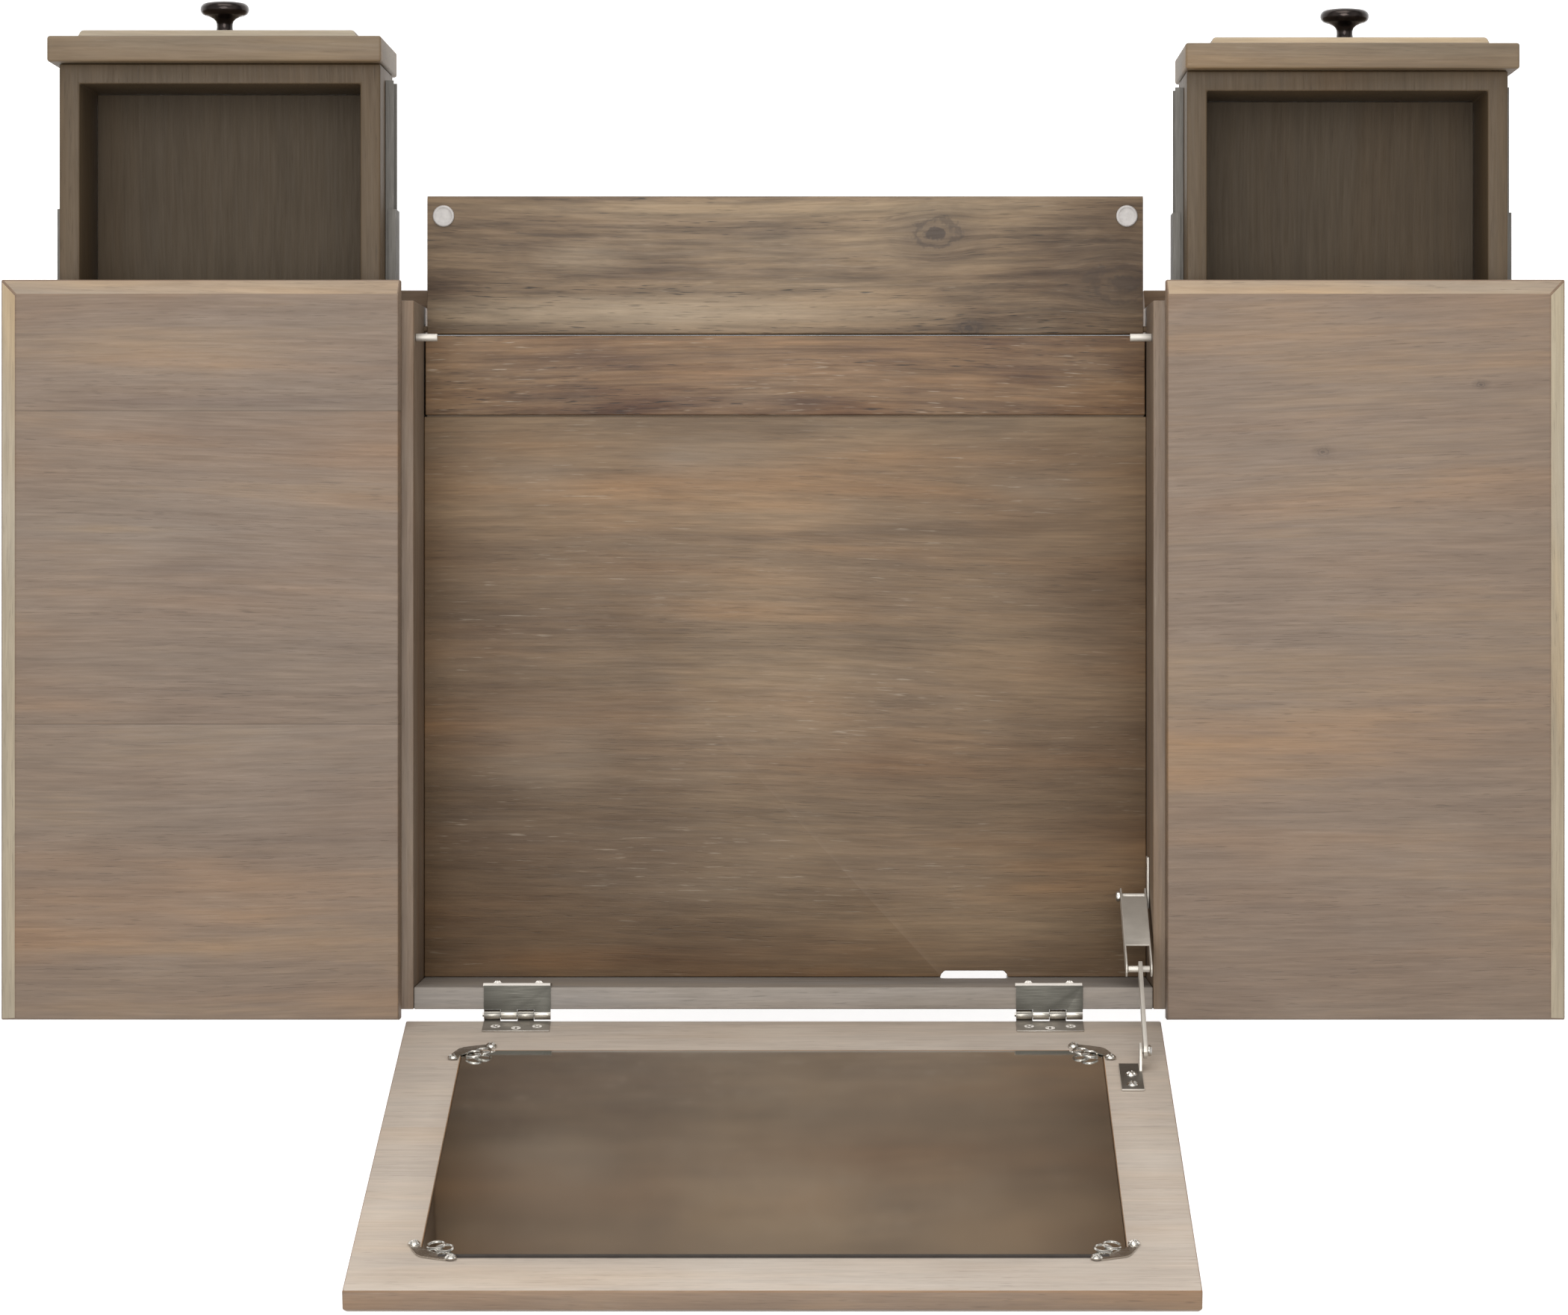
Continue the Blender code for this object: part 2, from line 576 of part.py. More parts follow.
def make_lid_bracket(lid):
    """A plate on the lid with an ear that holds the upper link's pin."""
    face = LID_RISE - GAP
    ear_x = (ARM_X[1] + 1.2, ARM_X[1] + 3.2)
    along, below = STAY_ON_LID, -STAY_OFF_AXIS
    plate = block("stay_lid_bracket", (ear_x[0], ear_x[0] + 17.0), (lid_y(162.0), lid_y(104.0)),
                  (face - 1.5, face), lid, NICKEL)
    outline = [(lid_y(along + 9.0), face - 0.5), (lid_y(along - 8.0), face - 0.5),
               (lid_y(along - 6.5), below - 3.0), (lid_y(along), below - 6.5),
               (lid_y(along + 6.5), below - 3.0)]
    ear = prism("stay_lid_ear", outline, ear_x, "X", lid, NICKEL)
    pin = rod("stay_lid_pin", (lid_y(along), below), STAY_PIN, (ARM_X[0] - 1.5, ear_x[0] + 1.0),
              "X", lid, NICKEL, 12)
    combine(plate, ear, "UNION")
    combine(plate, pin, "UNION")


# ----------------------------------------------------------------- assembly

def centre_on_ground(root):
    """Put the desk's middle over the origin; the feet already stand on Z = 0."""
    bpy.context.view_layer.update()
    depth = bpy.context.evaluated_depsgraph_get()
    solids = [ob for ob in bpy.data.objects if ob.type == "MESH" and not ob.hide_render]
    ys = [(ob.matrix_world @ v.co).y for ob in solids for v in ob.evaluated_get(depth).data.vertices]
    root.location.y = -(min(ys) + max(ys)) / 2


def build():
    case = body("case_frame")
    make_compartment(case)
    for name, side in (("left", -1), ("right", 1)):
        make_pedestal(name, side, case)
        make_leg(f"front_{name}_leg", side, TOP_FRONT + LEG_INSET, 1, case)
        make_leg(f"rear_{name}_leg", side, TOP_BACK - LEG_INSET, -1, case)
        drawer = body(f"{name}_drawer", (0.0, -OUT[name], 0.0), case)
        mid = body(f"{name}_slide_mid", (0.0, -OUT[name] / 2, 0.0), case)
        make_drawer(name, side, case, mid, drawer)

    flap = body("flap", (0.0, *flap_axis()), case)
    make_flap(flap)

    lid = body("lid", (0.0, HINGE_Y, HINGE_Z), case, -LID_OPEN)
    make_lid(lid)
    make_hinge("left", -HINGE_X, case, lid)
    make_hinge("right", HINGE_X, case, lid)

    lower_angle, upper_angle = link_angles(LID_OPEN)
    lower = body("stay_lower", (0.0, STAY_WALL_Y, STAY_WALL_Z), case, lower_angle)
    upper = body("stay_upper", (0.0, lid_y(STAY_ON_LID), -STAY_OFF_AXIS), lid,
                 upper_angle + LID_OPEN)
    make_lower_link(lower)
    make_upper_link(upper)
    make_wall_bracket(case)
    make_lid_bracket(lid)
    centre_on_ground(case)


build()
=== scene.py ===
"""The looks of the flip-top dressing-table desk, built round its CAD frame.

Units are metres in the frame's own axes: +Z up, the sitter at -Y.
"""

import json
import math

import bmesh
import bpy
from mathutils import Matrix, Vector

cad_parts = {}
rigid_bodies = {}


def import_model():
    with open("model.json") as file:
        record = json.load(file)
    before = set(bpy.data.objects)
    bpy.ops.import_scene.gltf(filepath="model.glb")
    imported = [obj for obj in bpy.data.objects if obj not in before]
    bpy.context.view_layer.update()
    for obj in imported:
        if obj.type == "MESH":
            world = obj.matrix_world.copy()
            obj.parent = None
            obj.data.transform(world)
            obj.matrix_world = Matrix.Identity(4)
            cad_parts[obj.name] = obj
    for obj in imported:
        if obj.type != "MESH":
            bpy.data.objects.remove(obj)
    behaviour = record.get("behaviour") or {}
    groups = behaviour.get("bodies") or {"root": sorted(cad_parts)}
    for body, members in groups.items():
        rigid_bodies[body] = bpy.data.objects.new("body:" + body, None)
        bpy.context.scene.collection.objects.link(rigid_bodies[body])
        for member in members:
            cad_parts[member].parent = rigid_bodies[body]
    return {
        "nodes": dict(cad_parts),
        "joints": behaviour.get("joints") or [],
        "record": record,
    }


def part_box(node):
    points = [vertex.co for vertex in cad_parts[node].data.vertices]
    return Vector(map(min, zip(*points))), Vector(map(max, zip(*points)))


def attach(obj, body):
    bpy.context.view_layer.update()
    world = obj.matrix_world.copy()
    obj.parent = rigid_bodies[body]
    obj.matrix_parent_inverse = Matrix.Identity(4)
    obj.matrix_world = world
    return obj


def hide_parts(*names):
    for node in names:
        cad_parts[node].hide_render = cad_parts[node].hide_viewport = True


for old in list(bpy.data.objects):
    bpy.data.objects.remove(old, do_unlink=True)

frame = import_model()
NODES = frame["nodes"]
JOINTS = {joint["name"]: joint for joint in frame["joints"]}
BODY_OF = {n: body for body, nodes in frame["record"]["behaviour"]["bodies"].items() for n in nodes}
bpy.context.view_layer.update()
MM = 0.001

TOP_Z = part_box("left_top")[1].z
LID_AXIS = Vector(JOINTS["lid_hinge"]["pos_m"])
LID_OPEN = math.radians(JOINTS["lid_hinge"]["range_deg"][1])
LID_OUT = Vector((0.0, -math.sin(LID_OPEN), -math.cos(LID_OPEN)))   # out of its inner face
LID_UP = Vector((0.0, -math.cos(LID_OPEN), math.sin(LID_OPEN)))     # from the hinge upwards
LID_FACE_OFF = -0.005           # the lid's inner face, measured off the hinge axis


# ------------------------------------------------------------ camera, stage

SENSOR_WIDTH = 36.0
LENS = 131.8
CAMERA_SHIFT = (-0.05, -0.0621)
CAMERA_XY = (-0.0609, -0.0363)
CAMERA_RISE = 4.4               # above the tops
CLIP_END = 100.0

SKY_HORIZON = 0.34
SKY_FULL_AT = 0.75              # how far up the sky is at its brightest
SKY_STRENGTH = 0.9

# Name, place, target, size and power of each soft light.
LIGHTS = (
    ("overhead", (0.4, -0.6, 6.6), (0.0, 0.0, 0.7), (3.5, 3.5), 190.0),
    ("front_fill", (0.2, -3.4, 2.6), (0.0, 0.2, 0.9), (3.2, 2.2), 62.0),
)

STAGE_REACH = 40.0
STAGE_CELLS = 8
STAGE_DROP = 0.0005             # the stage lies this far under the feet


def make_camera():
    """Straight above the desk, as far off as the view's perspective asks."""
    camera = bpy.data.cameras.new("camera")
    camera.sensor_width = SENSOR_WIDTH
    camera.lens = LENS
    camera.shift_x, camera.shift_y = CAMERA_SHIFT
    camera.clip_end = CLIP_END
    holder = bpy.data.objects.new("camera", camera)
    holder.location = (*CAMERA_XY, TOP_Z + CAMERA_RISE)
    holder.rotation_euler = (0.0, 0.0, math.pi)
    bpy.context.scene.collection.objects.link(holder)
    bpy.context.scene.camera = holder


def make_light(name, place, target, size, power):
    data = bpy.data.lights.new(name, "AREA")
    data.shape = "RECTANGLE"
    data.size, data.size_y = size
    data.energy = power
    holder = bpy.data.objects.new(name, data)
    holder.location = place
    aim = Vector(target) - Vector(place)
    holder.rotation_euler = aim.to_track_quat("-Z", "Y").to_euler()
    bpy.context.scene.collection.objects.link(holder)


def make_sky(tree):
    """A studio that is brighter overhead than at the horizon."""
    coords = tree.nodes.new("ShaderNodeTexCoord")
    parts = tree.nodes.new("ShaderNodeSeparateXYZ")
    ramp = tree.nodes.new("ShaderNodeValToRGB")
    horizon, zenith = ramp.color_ramp.elements
    horizon.color = (SKY_HORIZON, SKY_HORIZON, SKY_HORIZON, 1.0)
    zenith.color = (1.0, 1.0, 1.0, 1.0)
    zenith.position = SKY_FULL_AT
    tree.links.new(coords.outputs["Generated"], parts.inputs[0])
    tree.links.new(parts.outputs["Z"], ramp.inputs[0])
    tree.links.new(ramp.outputs[0], tree.nodes["Background"].inputs["Color"])
    tree.nodes["Background"].inputs["Strength"].default_value = SKY_STRENGTH


def make_stage():
    """A pale floor, a soft sky and two soft lights."""
    world = bpy.data.worlds.new("studio")
    world.use_nodes = True
    make_sky(world.node_tree)
    bpy.context.scene.world = world
    bpy.context.scene.view_settings.view_transform = "Standard"
    for light in LIGHTS:
        make_light(*light)
    bm = bmesh.new()
    bmesh.ops.create_grid(bm, x_segments=STAGE_CELLS, y_segments=STAGE_CELLS, size=STAGE_REACH)
    mesh = bpy.data.meshes.new("studio_floor")
    bm.to_mesh(mesh)
    bm.free()
    floor = bpy.data.objects.new("studio_floor", mesh)
    floor.location.z = -STAGE_DROP
    bpy.context.scene.collection.objects.link(floor)
    mesh.materials.append(floor_material())


# ---------------------------------------------------------------- materials

class Tree:
    """A material's node tree, with short calls for the nodes used here."""

    def __init__(self, name):
        self.material = bpy.data.materials.new(name)
        self.material.use_nodes = True
        self.tree = self.material.node_tree
        self.shader = self.tree.nodes["Principled BSDF"]

    def put(self, socket, value):
        if isinstance(value, bpy.types.NodeSocket):
            self.tree.links.new(value, socket)
        else:
            socket.default_value = value

    def finish(self, **inputs):
        for name, value in inputs.items():
            self.put(self.shader.inputs[name.replace("_", " ")], value)
        return self.material

    def position(self):
        return self.tree.nodes.new("ShaderNodeTexCoord").outputs["Object"]

    def math(self, operation, a, b=0.0, c=0.0, clamp=False):
        made = self.tree.nodes.new("ShaderNodeMath")
        made.operation = operation
        made.use_clamp = clamp
        for socket, value in zip(made.inputs, (a, b, c)):
            self.put(socket, value)
        return made.outputs[0]

    def vector(self, operation, a, b=(0.0, 0.0, 0.0)):
        made = self.tree.nodes.new("ShaderNodeVectorMath")
        made.operation = operation
        self.put(made.inputs[0], a)
        self.put(made.inputs[1], b)
        return made.outputs["Value"] if operation == "LENGTH" else made.outputs["Vector"]

    def split(self, vector):
        made = self.tree.nodes.new("ShaderNodeSeparateXYZ")
        self.put(made.inputs[0], vector)
        return made.outputs

    def join(self, x, y, z):
        made = self.tree.nodes.new("ShaderNodeCombineXYZ")
        for socket, value in zip(made.inputs, (x, y, z)):
            self.put(socket, value)
        return made.outputs[0]

    def noise(self, vector, scale=1.0, detail=3.0, roughness=0.5, distortion=0.0):
        made = self.tree.nodes.new("ShaderNodeTexNoise")
        self.put(made.inputs["Vector"], vector)
        made.inputs["Scale"].default_value = scale
        made.inputs["Detail"].default_value = detail
        made.inputs["Roughness"].default_value = roughness
        made.inputs["Distortion"].default_value = distortion
        return made.outputs["Fac"]

    def random(self, value):
        """A number that jumps with the value."""
        made = self.tree.nodes.new("ShaderNodeTexWhiteNoise")
        made.noise_dimensions = "1D"
        self.put(made.inputs["W"], value)
        return made.outputs["Value"]

    def remap(self, value, low, high, to_low=0.0, to_high=1.0, easing="LINEAR"):
        made = self.tree.nodes.new("ShaderNodeMapRange")
        made.interpolation_type = easing
        self.put(made.inputs["Value"], value)
        for name, number in zip(("From Min", "From Max", "To Min", "To Max"),
                                (low, high, to_low, to_high)):
            made.inputs[name].default_value = number
        return made.outputs[0]

    def stretched(self, vector, factors):
        return self.vector("MULTIPLY", vector, factors)

    def mix(self, factor, a, b, blend="MIX"):
        made = self.tree.nodes.new("ShaderNodeMix")
        made.data_type = "RGBA"
        made.blend_type = blend
        self.put(made.inputs["Factor"], factor)
        self.put(made.inputs["A"], a)
        self.put(made.inputs["B"], b)
        return made.outputs["Result"]

    def ramp(self, factor, stops):
        made = self.tree.nodes.new("ShaderNodeValToRGB")
        self.put(made.inputs[0], factor)
        points = made.color_ramp.elements
        while len(points) < len(stops):
            points.new(0.5)
        for point, (place, colour) in zip(points, stops):
            point.position = place
            point.color = (*colour, 1.0)
        return made.outputs[0]

    def bump(self, height, strength, distance):
        made = self.tree.nodes.new("ShaderNodeBump")
        self.put(made.inputs["Height"], height)
        made.inputs["Strength"].default_value = strength
        made.inputs["Distance"].default_value = distance
        return made.outputs[0]


def srgb(red, green, blue):
    """A colour given as 0-255 display values, made linear."""
    def linear(value):
        value /= 255.0
        return value / 12.92 if value <= 0.04045 else ((value + 0.055) / 1.055) ** 2.4
    return linear(red), linear(green), linear(blue)


def floor_material():
    tree = Tree("studio_floor")
    grain = tree.noise(tree.position(), 90.0, 2.0)
    colour = tree.ramp(grain, ((0.0, (0.9, 0.9, 0.9)), (1.0, (0.94, 0.94, 0.94))))
    return tree.finish(Base_Color=colour, Roughness=0.9, Emission_Color=(1.0, 1.0, 1.0, 1.0),
                       Emission_Strength=0.32)


GRAIN_AXES = {"X": (0, 1, 2), "Y": (1, 0, 2), "Z": (2, 0, 1)}

# Dark, middle, warm and washed tones of each wood, as display values under
# the studio's light.  A wood's light says how much of it reaches the surface.
TOP_TONES = ((135, 115, 100), (149, 128, 110), (165, 138, 110), (165, 148, 133))
# The chamfer and edge tones are lighter than the tops': a painted highlight on the tilted chamfers
# and on the tops of the drawer fronts' raised panels.
CHAMFER_TONES = ((160, 143, 124), (174, 157, 138), (188, 168, 140), (196, 184, 166))
EDGE_TONES = ((178, 162, 138), (198, 182, 157), (210, 194, 165), (214, 202, 184))
FLOOR_TONES = ((102, 80, 60), (129, 106, 83), (155, 129, 101), (149, 132, 114))
STRIP_TONES = ((95, 69, 49), (137, 108, 82), (163, 128, 96), (176, 155, 131))
FLAP_TONES = ((86, 69, 55), (136, 115, 93), (162, 139, 111), (186, 166, 140))
LID_TONES = ((178, 165, 152), (188, 175, 162), (195, 180, 163), (204, 195, 184))
ARRIS_TONES = ((140, 112, 88), (152, 124, 99), (168, 136, 106), (172, 148, 122))
RAIL_TONES = ((134, 127, 119), (153, 146, 139), (159, 149, 137), (174, 168, 162))
WALL_TONES = ((112, 94, 77), (132, 114, 98), (142, 120, 98), (158, 144, 128))
FRONT_TONES = ((130, 112, 90), (143, 124, 101), (158, 137, 106), (168, 152, 130))
DRAWER_TONES = ((84, 71, 56), (96, 82, 66), (102, 86, 68), (112, 100, 83))
BOTTOM_TONES = ((70, 60, 49), (79, 69, 57), (84, 73, 60), (92, 82, 69))
FLECK = (206, 192, 172)
KNOT = (50, 38, 30)
GLUE_LINE = (62, 49, 39)

SHEEN = 0.035                   # what a surface of plain gloss adds to its own colour
PAINT_FLOOR = 0.004             # the darkest a colour gets
GLUE_WIDTH = 0.0009
BOARD_SHIFT = 3.7               # how far the grain moves from one board to the next

# Stretch along and across the grain, detail and roughness of each layer:
# patches, streaks, figure, fibre, pores, flecks, mist and hue.
GRAIN_LAYERS = (
    (3.0, 9.0, 4.0, 0.55),
    (1.3, 34.0, 4.0, 0.7),
    (13.0, 190.0, 4.0, 0.65),
    (22.0, 620.0, 3.0, 0.6),
    (60.0, 900.0, 1.0, 0.5),
    (46.0, 640.0, 2.0, 0.5),
    (5.0, 12.0, 5.0, 0.62),
    (1.7, 15.0, 3.0, 0.6),
)

# Cold, plain and warm tints that the wash leaves.
TINTS = ((0.0, (0.96, 1.0, 1.04)), (0.5, (1.0, 1.0, 1.0)), (1.0, (1.2, 1.06, 0.88)))


def lit(colour, light, gloss=0.5):
    """The colour that shows as the given one under that much light."""
    return tuple(max((value - 2.0 * gloss * SHEEN) / light, PAINT_FLOOR) for value in srgb(*colour))


def oval(tree, along, across, centre, reach):
    """1 at the middle of an oval and 0 on its rim, smoothly."""
    away = tree.join(tree.math("DIVIDE", tree.math("SUBTRACT", along, centre[0]), reach[0]),
                     tree.math("DIVIDE", tree.math("SUBTRACT", across, centre[1]), reach[1]), 0.0)
    return tree.remap(tree.vector("LENGTH", away), 0.0, 1.0, 1.0, 0.0, "SMOOTHERSTEP")


def grow_knots(tree, along, across, place, knots):
    """How dark the knots make each spot, and how far they push the grain aside."""
    knot_dark, lean = 0.0, 0.0
    for knot_along, knot_across, radius, strength in knots:
        offset = tree.math("SUBTRACT", across, knot_across)
        away = tree.join(tree.math("MULTIPLY", tree.math("SUBTRACT", along, knot_along), 0.6),
                         offset, 0.0)
        wobble = tree.remap(tree.noise(place, 0.9 / radius, 3.0, 0.65), 0.3, 0.7,
                            -0.35 * radius, 0.2 * radius)
        distance = tree.math("ADD", tree.vector("LENGTH", away), wobble)
        core = tree.remap(distance, 0.2 * radius, 0.45 * radius, 1.0, 0.0)
        from_ring = tree.math("ABSOLUTE", tree.math("SUBTRACT", distance, 0.75 * radius))
        ring = tree.remap(from_ring, 0.05 * radius, 0.3 * radius, 0.75, 0.0)
        halo = tree.remap(distance, 0.9 * radius, 2.2 * radius, 0.4, 0.0)
        dark = tree.math("MAXIMUM", tree.math("MAXIMUM", core, ring), halo)
        dark = tree.math("MULTIPLY", dark, strength, clamp=True)
        knot_dark = tree.math("MAXIMUM", knot_dark, dark)
        near = oval(tree, along, across, (knot_along, knot_across), (4.0 * radius, 2.5 * radius))
        push = tree.math("MULTIPLY", tree.math("MULTIPLY", near, offset), -0.45)
        lean = tree.math("ADD", lean, push)
    return knot_dark, lean


def wood(name, grain, tones, seed, board=0.0, seam=0.0, joint_dark=0.5, knots=(), stains_and_painted_light=(),
         pale=(), wash=0.35, flecked=0.1, streaky=0.45, contrast=1.0, pored=0.25, tinted=1.0,
         crisp=0.04, light=1.4, gloss=0.5):
    """Washed solid wood.

    grain is the axis the fibres run along, board the width of the glued
    boards and seam the place of one joint across them.  Each knot is
    (place along the grain, place across it, radius, strength), each oval of
    staining, and of painted shade and painted light on the compartment floor,
    (place along, place across, reach along, reach across, tone), and each
    pale spot the same with the strength of its wash.
    """
    tree = Tree(name)
    parts = tree.split(tree.position())
    along, across, depth = (parts[i] for i in GRAIN_AXES[grain])
    shift = 0.0
    if board:
        count = tree.math("DIVIDE", tree.math("SUBTRACT", across, seam), board)
        index = tree.math("FLOOR", count)
        tone = tree.random(tree.math("ADD", index, seed * 7.3))
        shift = tree.math("MULTIPLY", index, BOARD_SHIFT)
        joint = tree.remap(tree.math("PINGPONG", count, 0.5), 0.0, GLUE_WIDTH / board, 1.0, 0.0)
    place = tree.join(tree.math("ADD", tree.math("ADD", along, shift), seed * 1.71), across,
                      tree.math("ADD", depth, seed * 0.37))

    knot_dark, lean = grow_knots(tree, along, across, place, knots)
    bend = tree.noise(tree.stretched(place, (1.3, 3.0, 3.0)), 1.0, 1.0)
    sway = tree.math("ADD", tree.remap(bend, 0.3, 0.7, -0.009, 0.009), lean)
    flow = tree.vector("ADD", place, tree.join(0.0, sway, 0.0))

    patches, streaks, figure, fibre, pores, flecks, mist, hue = (
        tree.noise(tree.stretched(flow, (lengthwise, crosswise, crosswise)), 1.0, detail, roughness)
        for lengthwise, crosswise, detail, roughness in GRAIN_LAYERS)

    level = tree.math("ADD", tree.math("MULTIPLY", patches, 1.0 - streaky),
                      tree.math("MULTIPLY", streaks, 0.62 * streaky))
    level = tree.math("ADD", level, tree.math("MULTIPLY", figure, 0.38 * streaky))
    if board:
        level = tree.math("ADD", level, tree.remap(tone, 0.0, 1.0, -0.02, 0.02))
    # Ovals of staining, and on the compartment floor painted shade and painted light.
    for *spot, amount in stains_and_painted_light:
        stain_and_painted_light = oval(tree, along, across, spot[:2], spot[2:])
        level = tree.math("ADD", level, tree.math("MULTIPLY", stain_and_painted_light, amount))
    spread = 0.2 / contrast
    level = tree.remap(level, 0.5 - spread, 0.5 + spread)
    linear = [lit(colour, light, gloss) for colour in tones]
    colour = tree.ramp(level, ((0.0, linear[0]), (0.5, linear[1]), (1.0, linear[2])))
    haze = tree.math("MULTIPLY", tree.remap(mist, 0.48, 0.74), wash)
    for *spot, amount in pale:
        worn = tree.math("MULTIPLY", oval(tree, along, across, spot[:2], spot[2:]),
                         tree.remap(mist, 0.3, 0.62, 0.35 * amount, amount))
        haze = tree.math("MAXIMUM", haze, worn)
    colour = tree.mix(haze, colour, (*linear[3], 1.0))
    warm = tree.remap(hue, 0.36, 0.68)
    colour = tree.mix(tinted, colour, tree.ramp(warm, TINTS), "MULTIPLY")
    fibre_shade = tree.remap(fibre, 0.3, 0.7, 1.0 - 0.09 * contrast, 1.0 + 0.07 * contrast)
    pore_mask = tree.math("MULTIPLY", tree.remap(pores, 0.62, 0.74),
                          tree.remap(streaks, 0.62, 0.42))
    shade = tree.math("MULTIPLY", fibre_shade, tree.remap(pore_mask, 0.0, 1.0, 1.0, 1.0 - pored))
    lines = tree.remap(figure, 0.36, 0.62, 1.0 - 2.0 * crisp, 1.0 + crisp)
    shade = tree.math("MULTIPLY", shade, lines)
    calm = tree.math("MULTIPLY", haze, 0.8)
    shade = tree.math("ADD", tree.math("MULTIPLY", shade, tree.math("SUBTRACT", 1.0, calm)), calm)
    colour = tree.mix(1.0, colour, tree.join(shade, shade, shade), "MULTIPLY")
    fleck_mask = tree.math("MULTIPLY", tree.remap(flecks, 0.64, 0.74),
                           tree.remap(mist, 0.42, 0.6))
    fleck_mask = tree.math("MULTIPLY", fleck_mask, flecked)
    colour = tree.mix(fleck_mask, colour, (*lit(FLECK, light), 1.0))
    height = tree.math("SUBTRACT", fibre, tree.math("MULTIPLY", pore_mask, 1.2))
    if knots:
        colour = tree.mix(knot_dark, colour, (*srgb(*KNOT), 1.0))
    if board:
        seen = tree.math("MULTIPLY", joint, joint_dark)
        colour = tree.mix(seen, colour, (*srgb(*GLUE_LINE), 1.0))
        height = tree.math("SUBTRACT", height, tree.math("MULTIPLY", joint, 4.0 * joint_dark))
    rough = tree.remap(fibre, 0.3, 0.7, 0.62, 0.5)
    return tree.finish(Base_Color=colour, Roughness=rough, Specular_IOR_Level=gloss,
                       Normal=tree.bump(height, 0.22, 0.0004))


BRUSHING = {"X": (60.0, 2400.0, 2400.0), "Y": (2400.0, 60.0, 2400.0)}


def plated_steel(name, tint, roughness, brushed="X", metallic=1.0):
    """Plated metal with fine drawing lines and a little clouding."""
    tree = Tree(name)
    place = tree.position()
    lines = tree.noise(tree.stretched(place, BRUSHING[brushed]), 1.0, 2.0)
    clouds = tree.noise(place, 45.0, 3.0)
    low = [value * 0.86 for value in tint]
    colour = tree.ramp(clouds, ((0.3, low), (0.7, tint)))
    rough = tree.math("ADD", tree.remap(lines, 0.3, 0.7, roughness * 0.8, roughness * 1.2),
                      tree.remap(clouds, 0.3, 0.7, -0.03, 0.03))
    return tree.finish(Base_Color=colour, Metallic=metallic, Roughness=rough,
                       Normal=tree.bump(lines, 0.05, 0.0001))


def bronze():
    """Near-black bronze, a little cloudy."""
    tree = Tree("dark_bronze")
    clouds = tree.noise(tree.position(), 160.0, 4.0)
    colour = tree.ramp(clouds, ((0.35, srgb(38, 33, 31)), (0.75, srgb(64, 56, 52))))
    return tree.finish(Base_Color=colour, Metallic=0.85,
                       Roughness=tree.remap(clouds, 0.3, 0.7, 0.17, 0.26),
                       Normal=tree.bump(clouds, 0.06, 0.0003))


def mirror_glass():
    """Silvered glass with the faintest greenish body and a dusty film."""
    tree = Tree("mirror_glass")
    film = tree.noise(tree.position(), 9.0, 4.0)
    colour = tree.ramp(film, ((0.3, (0.78, 0.79, 0.78)), (0.7, (0.82, 0.83, 0.82))))
    return tree.finish(Base_Color=colour, Metallic=1.0,
                       Roughness=tree.remap(film, 0.3, 0.7, 0.05, 0.08))


def painted_gap_shadow():
    """A painted shadow: a dark sheet for the shade in the gap along the glass."""
    tree = Tree("mirror_edge")
    mottle = tree.noise(tree.position(), 120.0, 3.0)
    colour = tree.ramp(mottle, ((0.3, srgb(34, 28, 24)), (0.7, srgb(48, 41, 36))))
    return tree.finish(Base_Color=colour, Roughness=tree.remap(mottle, 0.3, 0.7, 0.5, 0.7))


def soft_pad():
    """Pale translucent bumper pads."""
    tree = Tree("bumper")
    mottle = tree.noise(tree.position(), 260.0, 3.0)
    colour = tree.ramp(mottle, ((0.3, srgb(166, 161, 157)), (0.7, srgb(182, 177, 173))))
    return tree.finish(Base_Color=colour, Roughness=tree.remap(mottle, 0.3, 0.7, 0.4, 0.55),
                       Normal=tree.bump(mottle, 0.08, 0.0002))


# --------------------------------------------------------------- mesh helpers

def link_mesh(name, bm, material, smooth_angle=None):
    bmesh.ops.recalc_face_normals(bm, faces=bm.faces)
    mesh = bpy.data.meshes.new(name)
    bm.to_mesh(mesh)
    bm.free()
    mesh.materials.append(material)
    if smooth_angle:
        mesh.shade_smooth()
        mesh.set_sharp_from_angle(angle=math.radians(smooth_angle))
    piece = bpy.data.objects.new(name, mesh)
    bpy.context.scene.collection.objects.link(piece)
    return piece


def eased(node, material, width=1.2, segments=3):
    """A CAD board with its edges rounded over; it stands for the plain one."""
    bm = bmesh.new()
    bm.from_mesh(NODES[node].data)
    bmesh.ops.remove_doubles(bm, verts=bm.verts, dist=0.00001)
    bmesh.ops.dissolve_limit(bm, angle_limit=math.radians(0.5), verts=bm.verts, edges=bm.edges)
    edges = [e for e in bm.edges
             if len(e.link_faces) == 2 and e.calc_face_angle(0.0) > math.radians(18)]
    bmesh.ops.bevel(bm, geom=edges, offset=width * MM, segments=segments, profile=0.5,
                    affect="EDGES", clamp_overlap=True)
    piece = link_mesh(f"{node}_eased", bm, material, 30)
    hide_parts(node)
    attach(piece, BODY_OF[node])
    return piece


def repaint(node, material):
    """A CAD node whose shape is right gets its finish."""
    data = NODES[node].data
    data.materials.clear()
    data.materials.append(material)


def hexahedron(bm, corners):
    """Six faces round eight corners: four below, then the four above them."""
    verts = [bm.verts.new(corner) for corner in corners]
    for loop in ((0, 1, 2, 3), (4, 5, 6, 7), (0, 1, 5, 4),
                 (1, 2, 6, 5), (2, 3, 7, 6), (3, 0, 4, 7)):
        bm.faces.new([verts[i] for i in loop])


def boxed(name, low, high, material):
    bm = bmesh.new()
    outline = ((low[0], low[1]), (high[0], low[1]), (high[0], high[1]), (low[0], high[1]))
    hexahedron(bm, [Vector((x, y, z)) for z in (low[2], high[2]) for x, y in outline])
    return link_mesh(name, bm, material)


def stitch(bm, rings):
    """Join rings of corners, each to the next, and close both ends."""
    count = len(rings[0])
    for lower, upper in zip(rings, rings[1:]):
        for i in range(count):
            j = (i + 1) % count
            bm.faces.new((lower[i], lower[j], upper[j], upper[i]))
    bm.faces.new(rings[0])
    bm.faces.new(rings[-1])


